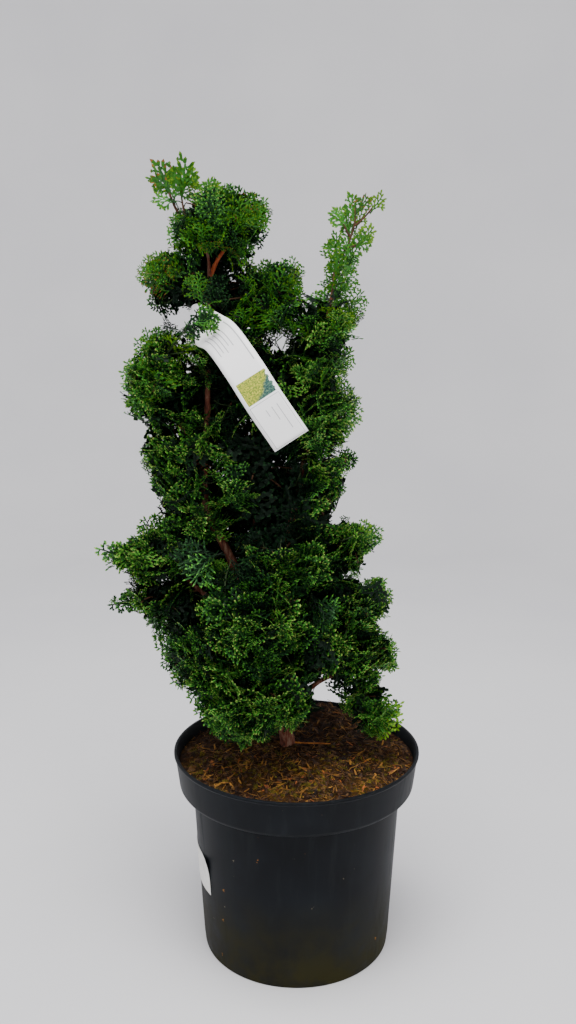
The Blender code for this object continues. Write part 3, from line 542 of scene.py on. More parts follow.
# %% Litter tree
litter_tree, given = new_tree(
    "lay_litter",
    pieces="NodeSocketCollection",
    density=1000.0,
    smallest=0.6,
    largest=1.3,
    tilt=0.4,
    seed=0,
    finish="NodeSocketMaterial",
)
cover = add_node(litter_tree, "GeometryNodeInputNamedAttribute", {"Name": "cover"}, data_type="FLOAT")
links = {0: given["Density"], 1: cover}
density = add_node(litter_tree, "ShaderNodeMath", links, operation="MULTIPLY")
links = {"Mesh": given["Geometry"], "Density": density, "Seed": given["Seed"]}
spread = add_node(litter_tree, "GeometryNodeDistributePointsOnFaces", links).outputs
links = {"X": given["Tilt"], "Y": given["Tilt"], "Z": math.pi}
half_turn = add_node(litter_tree, "ShaderNodeCombineXYZ", links)
back_turn = add_node(litter_tree, "ShaderNodeVectorMath", {0: half_turn, "Scale": -1.0}, operation="SCALE")
links = {"Min": back_turn, "Max": half_turn, "Seed": given["Seed"]}
any_turn = add_node(litter_tree, "FunctionNodeRandomValue", links, data_type="FLOAT_VECTOR")
turns = add_node(litter_tree, "FunctionNodeEulerToRotation", {0: any_turn})
links = {0: spread["Rotation"], 1: turns}
laid = add_node(litter_tree, "FunctionNodeRotateRotation", links, rotation_space="LOCAL")
links = {2: given["Smallest"], 3: given["Largest"], "Seed": given["Seed"]}
any_size = add_node(litter_tree, "FunctionNodeRandomValue", links)
shapes = add_node(litter_tree, "GeometryNodeCollectionInfo", {0: given["Pieces"], 1: True, 2: True})
links = {"Points": spread["Points"], "Instance": shapes, "Pick Instance": True}
links |= {"Rotation": laid, "Scale": any_size}
placed = add_node(litter_tree, "GeometryNodeInstanceOnPoints", links)
end_tree(litter_tree, placed, given["Finish"])
print("litter tree:", len(litter_tree.nodes), "nodes")


# %% Litter shapes
def hidden_collection(name, objects):
    """A collection that only serves as a store of shapes to pick from."""
    store = bpy.data.collections.new(name)
    for obj in objects:
        for owner in list(obj.users_collection):
            owner.objects.unlink(obj)
        store.objects.link(obj)
    return store


def splinter(chance, length, width, thickness):
    """A torn sliver of wood: a flat six-sided bar with ragged ends."""
    points = []
    for t in (0.0, 0.3, 0.7, 1.0):
        fat = (0.35 + 2.6 * t * (1 - t)) * chance.uniform(0.8, 1.1)
        bend = 0.12 * width * chance.uniform(-1, 1)
        for x, z in ((-0.5, 0), (0.0, 0.5), (0.5, 0), (0.0, -0.4)):
            points.append((x * width * fat + bend, (t - 0.5) * length, z * thickness * fat))
    return points, [*ring_faces(3, 4), (3, 2, 1, 0), (12, 13, 14, 15)]


def crumb(chance, size):
    """A broken lump of bark: an octahedron pushed out of shape."""
    ends = [(1, 0, 0), (-1, 0, 0), (0, 1, 0), (0, -1, 0), (0, 0, 0.6), (0, 0, -0.6)]
    points = [tuple(c * size * chance.uniform(0.6, 1.2) for c in end) for end in ends]
    return points, [(0, 2, 4), (2, 1, 4), (1, 3, 4), (3, 0, 4), (2, 0, 5), (1, 2, 5), (3, 1, 5), (0, 3, 5)]


def fibre(chance, length, width):
    """A bent root fibre with three sides."""
    points, turn = [], chance.uniform(0.8, 2.2)
    for i in range(6):
        t = i / 5
        x, y = (math.cos(turn * t) - 1) * length * 0.5, math.sin(turn * t) * length / turn - length * 0.4
        for k in range(3):
            a = 2 * math.pi * k / 3
            points.append((x + width * math.cos(a), y, 0.0012 * math.sin(3 * t) + width * math.sin(a)))
    return points, [*ring_faces(5, 3), (2, 1, 0), (15, 16, 17)]


def moss_tuft(chance, size):
    """A few blunt green shoots that stand together."""
    points, faces = [], []
    for _ in range(7):
        x, y = chance.uniform(-1, 1) * size * 0.6, chance.uniform(-1, 1) * size * 0.6
        lean_x, lean_y = chance.uniform(-0.4, 0.4) * size, chance.uniform(-0.4, 0.4) * size
        wide, first = size * 0.16, len(points)
        points += [(x + wide, y, 0), *((x - wide * 0.5, y + side * wide * 0.87, 0) for side in (1, -1))]
        points.append((x + lean_x, y + lean_y, size * chance.uniform(0.7, 1.2)))
        faces += [tuple(first + i for i in face) for face in ((0, 1, 3), (1, 2, 3), (2, 0, 3), (2, 1, 0))]
    return points, faces


def splinters(chance, count, lengths, widths, thickness):
    """Some splinters, their lengths and widths within ranges."""
    found = []
    for _ in range(count):
        found.append(splinter(chance, chance.uniform(*lengths), chance.uniform(*widths), thickness))
    return found


chance = random.Random(7)
SHAPES = {
    "wood_chips": splinters(chance, 7, (0.007, 0.018), (0.0016, 0.0046), 0.0012),
    "amber_chips": splinters(chance, 5, (0.006, 0.012), (0.0022, 0.0044), 0.0013),
    "dark_chips": splinters(chance, 6, (0.005, 0.012), (0.0016, 0.0036), 0.0012),
    "bark_crumbs": [crumb(chance, 0.0019) for _ in range(5)],
    "root_fibres": [fibre(chance, chance.uniform(0.010, 0.020), 0.00022) for _ in range(6)],
    "moss": [moss_tuft(chance, 0.0030) for _ in range(4)],
}
stores = {
    name: hidden_collection(name, [mesh_object(f"{name}_{i}", *shape) for i, shape in enumerate(shapes)])
    for name, shapes in SHAPES.items()
}


# %% [markdown]
# Litter takes plain materials, each with the grain that its size allows: fresh wood chips are straw
# coloured and fibrous, older ones are brown, and moss is a dull yellow green.

# %% Litter materials and pieces
def litter_material(name, low, high, roughness, grain_mm):
    """A matt natural material between two colours, with grain of this many millimetres."""
    material, tree, shader = new_material(name, high, roughness, 1.45)
    place = add_node(tree, "ShaderNodeTexCoord").outputs["Object"]
    grain = add_node(tree, "ShaderNodeTexNoise", blotches(place, grain_mm, 3))
    colour = add_node(tree, "ShaderNodeValToRGB", {"Fac": grain}, stops=((0.36, low), (0.64, high)))
    fine = add_node(tree, "ShaderNodeTexNoise", blotches(place, 0.9, 2))
    bumps = add_node(tree, "ShaderNodeBump", {"Height": fine, "Distance": 0.0002, "Strength": 1})
    set_inputs(tree, shader, {"Base Color": colour, "Normal": bumps})
    return material


# Pieces per square metre, smallest and largest, tilt, seed, and the finish: name, colours, roughness, grain
LITTER = {
    "wood_chips": (21000.0, 0.4, 1.15, 0.55, 3, ("split_pine_wood", "64400C", "AC7626", 0.75, 7)),
    "amber_chips": (9000.0, 0.5, 1.1, 0.5, 8, ("resinous_bark_chip", "54260A", "A0561A", 0.75, 7)),
    "dark_chips": (34000.0, 0.5, 1.3, 0.5, 4, ("weathered_bark_chip", "241307", "60401A", 0.85, 8)),
    "bark_crumbs": (60000.0, 0.4, 1.4, 1.2, 5, ("crumbled_bark", "180E07", "4A2C14", 0.9, 9)),
    "root_fibres": (20000.0, 0.5, 1.1, 0.5, 6, ("dry_root_fibre", "4A2A10", "A8752E", 0.8, 12)),
    "moss": (34000.0, 0.4, 1.2, 0.3, 7, ("cushion_moss", "343206", "7E7016", 0.9, 10)),
}


def litter_cover(name, x, y):
    """How much of a kind of litter lies at a place, from 0 to 1."""
    radius = math.hypot(x, y)
    if radius > SOIL_EDGE_RADIUS - 0.005:
        return 0.0
    to_trunk = (Vector((x, y)) - TRUNK_FOOT).length
    drift = 0.5 + 0.8 * noise.noise(Vector((x * 30, y * 30, 3.0 + len(name))))
    if name in ("wood_chips", "amber_chips", "moss"):
        towards_front = min(1.0, max(0.12, (0.050 - y) / 0.09))
        return max(0.0, min(1.0, (drift * 1.5 - 0.25) * towards_front * min(1, to_trunk / 0.05)))
    return max(0.15, min(1.0, drift + 0.2))


top_faces = faces[: SOIL_SPOKES * SOIL_RINGS]
for name, (density, smallest, largest, tilt, seed, finish) in LITTER.items():
    top = mesh_object(name, points, top_faces)
    cover = [litter_cover(name, x, y) if z > POT_HEIGHT - 0.02 else 0 for x, y, z in points]
    set_attribute(top, "cover", "FLOAT", cover)
    sizes = dict(density=density, smallest=smallest, largest=largest, tilt=tilt, seed=seed)
    run_tree(top, litter_tree, pieces=stores[name], finish=litter_material(*finish), **sizes)
    hand_over(top, "soil")

# %% [markdown]
# ## Limbs
# The trunk forks low and its stems and boughs leave each other along smooth curves. The table repeats
# the source's waypoints, radii and carriers, but for the trunk's slimmer foot and one bough that passes
# higher. A limb is a tapering tube that starts on its carrier's centreline, where it leaves it.

# %% Limb tables
# Name, carrier and share of its length, radii at the foot and the tip, then the waypoints, all in mm
STEMS = """
trunk none 0 7.2 1.8 -10 15 208.5 -10 15 218.8 -20 4 268 -60 -8 406 -91 -10 480 -88 -10 573 -84 -11 703 -91 -9 738
right_stem trunk 0.11  6.6 1.7  -12 4 330  -10 -2 430  3 -9 495  16 -10 590  33 -10 682
middle_stem trunk 0.22  5.2 1.7  -41 20 410  -43 20 510  -36 6 632
top_fork trunk 0.925  2.4 1.6  -76 -11 716  -67 -10 728
left_shoulder_bough trunk 0.885  2 1.4  -96 -11 693  -107 -10 697
left_upper_bough trunk 0.56  2.8 1.6  -106 -8 542  -122 -5 566
left_wing_bough trunk 0.22  4.4 2.2  -78 -2 368  -116 0 402
left_skirt_bough trunk 0.14  3.8 2  -56 -18 302  -74 -22 314
front_bough trunk 0.17  3.8 2  -30 -26 322  -28 -46 350
right_wing_bough right_stem 0.09  4 2  12 2 345  38 0 392
right_skirt_bough trunk 0.08  3.6 2  24 -4 290  56 -10 304
back_left_bough trunk 0.19  4 2  -52 28 308  -66 40 324
back_right_bough right_stem 0.05  4 2  -6 30 302  3 44 319
back_upper_bough middle_stem 0.55  2.4 1.5  -52 40 545  -62 50 575
"""
ROOT_FLARE = 0.0014
LIMB_STEPS = 14


def smooth_path(waypoints, steps):
    """Points of a Catmull-Rom curve through the waypoints, the waypoints included."""
    points = [Vector(p) for p in waypoints]
    ends = [points[0] * 2 - points[1], *points, points[-1] * 2 - points[-2]]
    path = [points[0]]
    for before, start, stop, after in zip(ends, ends[1:], ends[2:], ends[3:]):
        for t in (step / steps for step in range(1, steps + 1)):
            bend = (2 * before - 5 * start + 4 * stop - after) * t**2
            bend += (3 * start - before - 3 * stop + after) * t**3
            path.append(0.5 * (2 * start + (stop - before) * t + bend))
    return path


class Limb:
    """A trunk, stem or bough: a tapering tube along a smooth path."""

    def __init__(self, path, foot, tip, flare):
        self.path = path
        lengths = np.cumsum([0.0] + [(b - a).length for a, b in zip(path, path[1:])])
        self.shares = lengths / lengths[-1]
        self.radii = tip + (foot - tip) * (1 - self.shares) ** 1.35 + flare * np.exp(-self.shares / 0.025)

    def at(self, share):
        """The centreline's point and direction at a share of the length."""
        index = min(int(np.searchsorted(self.shares, share, side="right")), len(self.path) - 1)
        a, b = self.path[index - 1], self.path[index]
        t = (share - self.shares[index - 1]) / (self.shares[index] - self.shares[index - 1])
        return a.lerp(b, t), (b - a).normalized()


limbs = {}
for name, carrier, share, foot, tip, *numbers in table_rows(STEMS):
    start = [limbs[carrier].at(share)[0]] if carrier in limbs else []
    path = smooth_path([*start, *triples(metres(numbers))], LIMB_STEPS)
    limbs[name] = Limb(path, foot / 1000, tip / 1000, 0 if start else ROOT_FLARE)
limb_points = np.array([tuple(p) for limb in limbs.values() for p in limb.path])
limb_radii = np.concatenate([limb.radii for limb in limbs.values()])
print(len(limbs), "limbs,", len(limb_points), "points")

# %% [markdown]
# Bark of this cypress is red brown and thin. It splits along the stem and comes off in narrow strips,
# which leaves greyish ridges and rusty furrows. One tree draws a tube of any radius along a path, and
# pushes its skin in and out with noise that is stretched along the limb.

# %% Tube tree
tube_tree, given = new_tree("draw_tubes", sides=8, relief=0.0, strip_width=0.003, finish="NodeSocketMaterial")
curve = add_node(tube_tree, "GeometryNodeMeshToCurve", {"Mesh": given["Geometry"]})
ring = add_node(tube_tree, "GeometryNodeCurvePrimitiveCircle", {"Resolution": given["Sides"], "Radius": 1.0})
links = {"Name": "thickness"}
thickness = add_node(tube_tree, "GeometryNodeInputNamedAttribute", links, data_type="FLOAT")
links = {"Curve": curve, "Profile Curve": ring, "Scale": thickness, "Fill Caps": True}
swept = add_node(tube_tree, "GeometryNodeCurveToMesh", links)
place = add_node(tube_tree, "GeometryNodeInputPosition")
stretched = add_node(tube_tree, "ShaderNodeVectorMath", {0: place, 1: (1, 1, 0.16)}, operation="MULTIPLY")
fineness = add_node(tube_tree, "ShaderNodeMath", {0: 1.0, 1: given["Strip width"]}, operation="DIVIDE")
links = {"Vector": stretched, "Scale": fineness, "Detail": 4.0, "Roughness": 0.6}
strips = add_node(tube_tree, "ShaderNodeTexNoise", links)
centred = add_node(tube_tree, "ShaderNodeMath", {0: strips, 1: 0.5}, operation="SUBTRACT")
depth = add_node(tube_tree, "ShaderNodeMath", {0: centred, 1: given["Relief"]}, operation="MULTIPLY")
normal = add_node(tube_tree, "GeometryNodeInputNormal")
push = add_node(tube_tree, "ShaderNodeVectorMath", {0: normal, "Scale": depth}, operation="SCALE")
raised = add_node(tube_tree, "GeometryNodeSetPosition", {"Geometry": swept, "Offset": push})
smooth = add_node(tube_tree, "GeometryNodeSetShadeSmooth", {"Geometry": raised})
end_tree(tube_tree, smooth, given["Finish"])


def tubes(name, paths, finish, sides, relief=0.0, strip_width=0.003):
    """Closed tubes along paths, each a list of points with one radius for each."""
    points, edges, radii = [], [], []
    for path, thickness in paths:
        edges += [(len(points) + i, len(points) + i + 1) for i in range(len(path) - 1)]
        points += [tuple(p) for p in path]
        radii += list(thickness)
    made = mesh_object(name, points, edges=edges)
    set_attribute(made, "thickness", "FLOAT", radii)
    return run_tree(made, tube_tree, sides=sides, relief=relief, strip_width=strip_width, finish=finish)


# %% Bark
def bark_material(name, furrow, skin, ridge, patch):
    """Thin flaking bark: rusty furrows, a red-brown skin, greyish ridges and pale patches."""
    material, tree, shader = new_material(name, skin, 0.8, 1.45)
    place = add_node(tree, "ShaderNodeTexCoord").outputs["Object"]
    along = add_node(tree, "ShaderNodeMapping", {"Vector": place, "Scale": (1, 1, 0.15)})
    strips = add_node(tree, "ShaderNodeTexNoise", blotches(along, 2.6, 5, 0.65))
    stops = ((0.34, furrow), (0.50, skin), (0.66, ridge))
    colour = add_node(tree, "ShaderNodeValToRGB", {"Fac": strips}, stops=stops)
    pale = add_node(tree, "ShaderNodeTexNoise", blotches(place, 11, 3))
    pale = add_node(tree, "ShaderNodeMapRange", span(pale, 0.58, 0.66, 0, 0.7))
    colour = add_node(tree, "ShaderNodeMix", {0: pale, 6: colour, 7: patch}, data_type="RGBA")
    bumps = add_node(tree, "ShaderNodeBump", {"Height": strips, "Distance": 0.0007, "Strength": 1})
    set_inputs(tree, shader, {"Base Color": colour, "Normal": bumps})
    return material


dry_twig = litter_material("dry_orange_twig", "8A4A14", "C87A2A", 0.7, 6)
FALLEN_TWIG = [(-0.003, 0.014), (0.010, 0.011), (0.024, 0.0115), (0.037, 0.010)]
FALLEN_LOWEST, FALLEN_LIFT = 0.2128, 0.0012
fallen_places = [(x, y, max(soil_height(x, y), FALLEN_LOWEST) + FALLEN_LIFT) for x, y in FALLEN_TWIG]
fallen_path = smooth_path(fallen_places, 5)
fallen_radii = np.linspace(0.0010, 0.0006, len(fallen_path))
hand_over(tubes("fallen_twig", [(fallen_path, fallen_radii)], dry_twig, 8), "soil")
old_bark = bark_material("flaking_cypress_bark", "2E140B", "6B3420", "8A6A56", "93705F")
young_bark = bark_material("young_orange_bark", "5A2410", "A8481F", "B5653A", "7C4A30")
YOUNG = ("top_fork", "left_shoulder_bough")
MOST_RELIEF, RELIEF_SHARE = 0.0035, 0.30
for name, limb in limbs.items():
    thick = float(limb.radii[0])
    sides = 28 if name == "trunk" else 16 if thick > 0.005 else 10
    finish = young_bark if name in YOUNG else old_bark
    relief = min(MOST_RELIEF, thick * RELIEF_SHARE)
    bark = tubes(f"{name}_bark", [(limb.path, limb.radii)], finish, sides, relief)
    hand_over(bark, "bark", name)

# %% [markdown]
# ## Sprays
# Hinoki foliage is a system of flat fans. A fan is a short twig that forks left and right in one plane;
# each side twig forks again into blunt branchlets, hidden under tiny scale leaves. A branchlet is drawn
# as one blunt leaflet of three faces, bent and tilted. The fan's outline and cup come from a few sizes.
# A shell is dense and cupped, a comb long and open, a plume loose with broad branchlets, a spear slim
# for the crown's tips, and a shade fan broad and plain for the inside, where it takes the painted shade tone.

# %% Fan shapes
FAN_KINDS = {
    "shell": dict(count=6, spread=52, nodes=9, width=0.066, cup=0.36, length=0.155, gap=0.135, side=0.74),
    "comb": dict(count=3, spread=38, nodes=9, width=0.042, cup=0.18, length=0.225, gap=0.135, side=0.74),
    "plume": dict(count=4, spread=42, nodes=7, width=0.106, cup=0.14, length=0.290, gap=0.200, side=0.62),
    "spear": dict(count=4, spread=34, nodes=9, width=0.066, cup=0.16, length=0.150, gap=0.125, side=0.46),
    "shade": dict(count=2, spread=56, nodes=6, width=0.140, cup=0.30, length=0.200, gap=0.21, side=0.74),
}


def leaflet(start, stop, width, normal, blunt=0.64):
    """A branchlet: a narrow root, its widest place near the tip, and a tip that bends down."""
    along = stop - start
    side = along.cross(normal).normalized() * width / 2
    thick = start + along * blunt + normal * width * 0.10
    root = side * 0.62
    return [start + root, start - root, thick + side, thick - side, stop - normal * width * 0.12]


LEAFLET_FACES = [(0, 1, 3), (0, 3, 2), (2, 3, 4)]


def fan_lines(chance, spread, nodes, width, length, gap, side):
    """The fan's twigs as (start, stop, width, is it a tip) in its plane; its axis is +X, one unit long."""
    spread = math.radians(spread)
    lines = []
    sway = chance.uniform(-0.06, 0.06)

    def axis(t):
        return Vector((t, sway * math.sin(2.6 * t), 0))

    for a, b in zip(np.linspace(0, 0.86, 5), np.linspace(0, 0.86, 5)[1:]):
        lines.append((axis(a - 0.02), axis(b + 0.03), width * 0.62, False))
    lines.append((axis(0.84), axis(1.0), width, True))
    first_side = chance.choice((-1, 1))
    for k in range(nodes):
        t = 0.08 + 0.76 * k / (nodes - 1)
        hand = first_side * (1 if k % 2 else -1)
        polar = hand * spread * (1 - t) ** 0.75 * chance.uniform(0.92, 1.08)
        reach = (1 - (1 - side) * abs(polar) / spread) * chance.uniform(0.90, 1.04)
        start, stop = axis(t), Vector((reach * math.cos(polar), reach * math.sin(polar), 0))
        bow = (stop - start).cross(UP) * 0.16 * hand
        path = [start.lerp(stop, s) + bow * (4 * s * (1 - s)) for s in (0, 0.34, 0.67, 0.92)]
        run = (stop - start).length
        for a, b in zip(path, path[1:]):
            lines.append((a, b + (b - a) * 0.10, width * 0.72, False))
        lines.append((path[-1], stop + (path[-1] - path[-2]).normalized() * 0.05, width, True))
        twiglets = max(1, round(run / gap))
        for j in range(twiglets):
            s = 0.16 + 0.74 * (j + 0.5) / twiglets
            index = min(2, int(s * 3))
            base = path[index].lerp(path[index + 1], s * 3 - index)
            ahead = (path[index + 1] - path[index]).normalized()
            turn_to = hand * (1 if j % 2 else -1)
            turn = Matrix.Rotation(turn_to * math.radians(chance.uniform(34, 48)), 3, "Z")
            tip = base + turn @ ahead * length * chance.uniform(0.75, 1.1) * (1 - 0.25 * s)
            lines.append((base, tip, width * chance.uniform(0.85, 1.05), True))
    return lines


def make_fan(name, chance, cup, **sizes):
    """One fan as a mesh: the plane is cupped and rippled. Zone 0 is twig, 1 leaflet, 2 leaflet's end."""
    points, faces, zones = [], [], []
    twist = chance.uniform(-0.25, 0.25)
    droop = chance.uniform(-0.10, 0.16)
    ripple = chance.uniform(0, 6)
    for start, stop, width, is_tip in fan_lines(chance, **sizes):
        first = len(points)
        tilt = Vector((chance.uniform(-0.3, 0.3), chance.uniform(-0.8, 0.8), 1)).normalized()
        points += leaflet(start, stop, width, tilt)
        faces += [tuple(first + i for i in face) for face in LEAFLET_FACES]
        zones += [1, 1, 2] if is_tip else [0, 0, 0]
    for point in points:
        x, y = point.x, point.y
        wave = 0.018 * math.sin(ripple + 9 * y + 5 * x)
        point.z += cup * y * y * 1.4 + twist * x * y - droop * x * x + wave
    fan = mesh_object(name, points, faces, smooth=True)
    set_attribute(fan, "zone", "INT", zones, "FACE")
    return fan


chance = random.Random(29)
fans, kind_numbers = [], {}
for kind, sizes in FAN_KINDS.items():
    count = sizes.pop("count")
    kind_numbers[kind] = list(range(len(fans), len(fans) + count))
    for i in range(count):
        fans.append(make_fan(f"fan_{len(fans):02d}", chance, **sizes))
fan_triangles = [len(fan.data.polygons) for fan in fans]
fan_store = hidden_collection("fans", fans)
print("fans:", dict(zip((fan.name for fan in fans), fan_triangles)))

# %% [markdown]
# ## Leaf colours
# Scale leaves are waxy and opaque. A young tip is a fresh yellow green, a spray in the shade is painted a
# deep bluish green as painted shade, and frost turns the highest tips bronze. Each is a plain material of
# its own, dealt out spray by spray: a dark one for its twigs, one for its leaflets and a lighter one for
# their ends. The darker greens are painted shade, and the darker twigs and lighter ends are partly
# painted shade and painted light.

# %% Leaf materials
# From deep shade to bright green the first five colours are one green in darker and lighter copies: painted shade
# and painted light
LEAF_COLOURS = {
    "leaf_in_deep_shade": "0A190E",
    "leaf_dark_green": "143117",
    "leaf_green": "22511A",
    "leaf_fresh_green": "387B24",
    "leaf_bright_green": "559A2E",
    "leaf_yellow_green_tip": "96B050",
    "leaf_bronze_tip": "80591F",
    "leaf_young_green": "2F680C",
    "leaf_young_tip": "669014",
}
LEAF_SPECULAR, SHADED_SPECULAR = 0.28, 0.10
leaf_materials = []
for name, colour in LEAF_COLOURS.items():
    material, tree, shader = new_material(name, colour, 0.5, 1.45)
    specular = LEAF_SPECULAR if len(leaf_materials) > 1 else SHADED_SPECULAR
    set_inputs(tree, shader, {"Specular IOR Level": specular})
    leaf_materials.append(material)
# Twig, leaflet and end of each tone. The shade and dark tones are painted shade, the bright tone and the lightest
# one are painted light, and the young, tender and bronze tones are the leaves' own colours
TONES = {
    "shade": (0, 0, 1),
    "dark": (0, 1, 2),
    "middle": (1, 2, 4),
    "fresh": (1, 3, 5),
    "bright": (2, 3, 5),
    "lime": (2, 4, 5),
    "young": (3, 7, 8),
    "tender": (7, 8, 8),
    "bronze": (2, 7, 6),
}

# %% [markdown]
# One tree turns a cloud of points into foliage. Each point carries the fan to use, its size and turn
# and its three colours. The tree places the fans, lets each wander by a few degrees from a fixed seed,
# makes the instances real and sets a material where its number is asked for.

# %% Fan tree
fan_tree, given = new_tree("grow_fans", fans="NodeSocketCollection", wander=0.12, seed=11)
POINT_VALUES = {"turn": "FLOAT_VECTOR", "size": "FLOAT"}
POINT_VALUES |= dict.fromkeys(("kind", "zone", "twig", "leaflet", "end"), "INT")
stored = {
    name: add_node(fan_tree, "GeometryNodeInputNamedAttribute", {"Name": name}, data_type=kind)
    for name, kind in POINT_VALUES.items()
}
turns = add_node(fan_tree, "FunctionNodeEulerToRotation", {0: stored["turn"]})
corner = add_node(fan_tree, "ShaderNodeCombineXYZ", dict.fromkeys((0, 1, 2), given["Wander"]))
minus = add_node(fan_tree, "ShaderNodeVectorMath", {0: corner, "Scale": -1.0}, operation="SCALE")
links = {0: minus, 1: corner, "Seed": given["Seed"]}
small_turn = add_node(fan_tree, "FunctionNodeRandomValue", links, data_type="FLOAT_VECTOR")
wander = add_node(fan_tree, "FunctionNodeEulerToRotation", {0: small_turn})
links = {0: turns, 1: wander}
turned_fans = add_node(fan_tree, "FunctionNodeRotateRotation", links, rotation_space="LOCAL")
links = {
    "Points": add_node(fan_tree, "GeometryNodeMeshToPoints", {"Mesh": given["Geometry"]}),
    "Instance": add_node(fan_tree, "GeometryNodeCollectionInfo", {0: given["Fans"], 1: True, 2: True}),
    "Pick Instance": True,
    "Instance Index": stored["kind"],
    "Rotation": turned_fans,
    "Scale": stored["size"],
}
leaves = add_node(fan_tree, "GeometryNodeInstanceOnPoints", links)
leaves = add_node(fan_tree, "GeometryNodeRealizeInstances", {0: leaves})
links = {2: stored["zone"], 3: 1}
is_end = add_node(fan_tree, "FunctionNodeCompare", links, data_type="INT", operation="GREATER_THAN")
links = {0: is_end, 1: stored["leaflet"], 2: stored["end"]}
green = add_node(fan_tree, "GeometryNodeSwitch", links, input_type="INT")
links = {0: stored["zone"], 1: stored["twig"], 2: green}
number = add_node(fan_tree, "GeometryNodeSwitch", links, input_type="INT")
for i, material in enumerate(leaf_materials):
    here = add_node(fan_tree, "FunctionNodeCompare", {2: number, 3: i}, data_type="INT", operation="EQUAL")
    links = {"Geometry": leaves, "Selection": here, "Material": material}
    leaves = add_node(fan_tree, "GeometryNodeSetMaterial", links)
add_node(fan_tree, "NodeGroupOutput", {"Geometry": leaves})
print("fan tree:", len(fan_tree.nodes), "nodes")

# %% [markdown]
# ## The masses
# The crown is a set of egg-shaped spaces, each carried by one limb, as in the source. Together with a
# sleeve round each stem they flow into one skin without creases. Sprays start inside a space and end
# at that skin, and where two spaces meet each keeps to its own side. The thin masses at the top are
# bare shoots with a few open sprays.

# %% Mass table
# Name, carrier and share of its length, middle, half sizes and lean, in mm and degrees, and how much
# is added to the painted light that deals its sprays' tones, beyond what its place alone would give
MASSES = """
top_twin_sprays trunk 1  -117 -2 780  28 22 35  -14 0
crown_head top_fork 1  -74 -4 746  53 46 45  0 -0.1
left_shoulder left_shoulder_bough 1  -116 -4 692  41 39 40  0 0
head_back trunk 0.9  -80 28 690  56 45 55  0 0
middle_head middle_stem 1  -31 -6 679  51 41 52  0 0
right_plume right_stem 1  52 -4 727  28 24 59  20 0.1
right_shoulder right_stem 0.88  26 -2 646  41 39 51  8 0.5
right_flank right_stem 0.7  21 0 568  43 43 57  0 0.55
right_waist right_stem 0.48  11 2 484  41 46 57  0 0.65
right_spur right_stem 0.57  48 0 524  26 22 21  62 0
left_upper left_upper_bough 1  -132 -2 602  43 43 56  8 0.3
left_middle trunk 0.53  -114 -4 515  47 50 62  0 0.45
centre_upper middle_stem 0.85  -44 8 600  46 50 62  0 0.1
centre_middle middle_stem 0.45  -40 3 508  50 52 68  0 0.2
left_wing left_wing_bough 1  -134 0 424  68 41 36  0 0.35
left_wing_low left_wing_bough 0.8  -138 -4 376  53 36 29  0 0.3
left_skirt left_skirt_bough 1  -96 -29 320  52 52 49  0 0.1
front_middle front_bough 1  -39 -55 372  62 55 51  0 0
front_fan right_stem 0.3  -16 -39 426  51 48 42  0 -0.05
front_skirt trunk 0.12  -39 -53 294  66 59 50  0 0.25
front_right right_wing_bough 0.4  24 -36 334  42 38 46  0 0
right_wing_top right_wing_bough 1  48 0 430  40 43 37  20 0.25
right_wing right_wing_bough 0.85  54 -4 368  48 50 41  0 0.2
right_wing_low right_skirt_bough 1  66 -2 316  42 46 38  0 1.1
right_skirt right_skirt_bough 0.85  74 -14 262  34 38 31  18 1
back_low_left back_left_bough 1  -81 60 345  70 56 76  0 0
back_low_right back_right_bough 1  14 62 336  66 54 74  0 0
back_middle_left trunk 0.44  -88 43 455  68 54 72  0 0
back_middle_right right_stem 0.36  -8 47 448  66 52 72  0 0
back_upper_left back_upper_bough 1  -85 43 578  58 48 72  0 0
back_upper_right right_stem 0.74  -11 43 572  56 46 74  0 0
"""
SEED = 41
THINNEST_CORE = 0.025

# The height where the fans of a mass of bare shoots end
BARE_ABOVE = {"top_twin_sprays": 0.0, "right_plume": 0.722}


class Mass:
    """One mass: its egg-shaped space, which way it faces and where it is carried."""

    def __init__(self, name, carrier, share, *numbers):
        # The last number is added to the painted light by which the mass's sprays are dealt their tones
        *numbers, lean, self.young = numbers
        centre, half = triples(metres(numbers))
        self.name = name
        self.carrier = (carrier, share)
        self.centre = Vector(centre)
        self.half = np.array(half)
        self.turn = Matrix.Rotation(math.radians(lean), 3, "Y")
        self.is_thin = min(half) < THINNEST_CORE
        self.bare_above = BARE_ABOVE.get(name, 1.0)

    def reach(self, points):
        """How far out each point lies: 0 in the middle of the space and 1 on its skin."""
        local = (np.asarray(points) - np.array(self.centre)) @ np.array(self.turn)
        return np.linalg.norm(local / self.half, axis=-1)

    def surface(self, direction):
        """The point of the skin that lies in a direction, given in the space's own axes."""
        return self.centre + self.turn @ Vector(np.array(direction) * self.half)

    def skin(self):
        """About the area of the skin, in square metres."""
        a, b, c = self.half
        return 4 * math.pi * (((a * b) ** 1.6 + (a * c) ** 1.6 + (b * c) ** 1.6) / 3) ** (1 / 1.6)


masses = [Mass(*row) for row in table_rows(MASSES)]
all_centres = np.array([tuple(mass.centre) for mass in masses])
all_halves = np.array([mass.half for mass in masses])
all_turns = np.array([np.array(mass.turn) for mass in masses])

# How sharply the spaces flow into each other, and the stretches of the stems with a sleeve of foliage
BLEND = 5.0
SLEEVES = (("trunk", 0.10, 0.90), ("right_stem", 0.04, 0.90), ("middle_stem", 0.0, 1.0))
SLEEVE_RADIUS = 0.037
SKIN_STEP = 0.006
sleeve_shares = [(name, share) for name, low, high in SLEEVES for share in np.linspace(low, high, 40)]
sleeve = np.array([tuple(limbs[name].at(share)[0]) for name, share in sleeve_shares])


def reaches(points):
    """How far out each point lies in every mass: one row for each point."""
    local = np.einsum("pmi,mij->pmj", np.asarray(points)[:, None] - all_centres, all_turns)
    return np.linalg.norm(local / all_halves, axis=2)


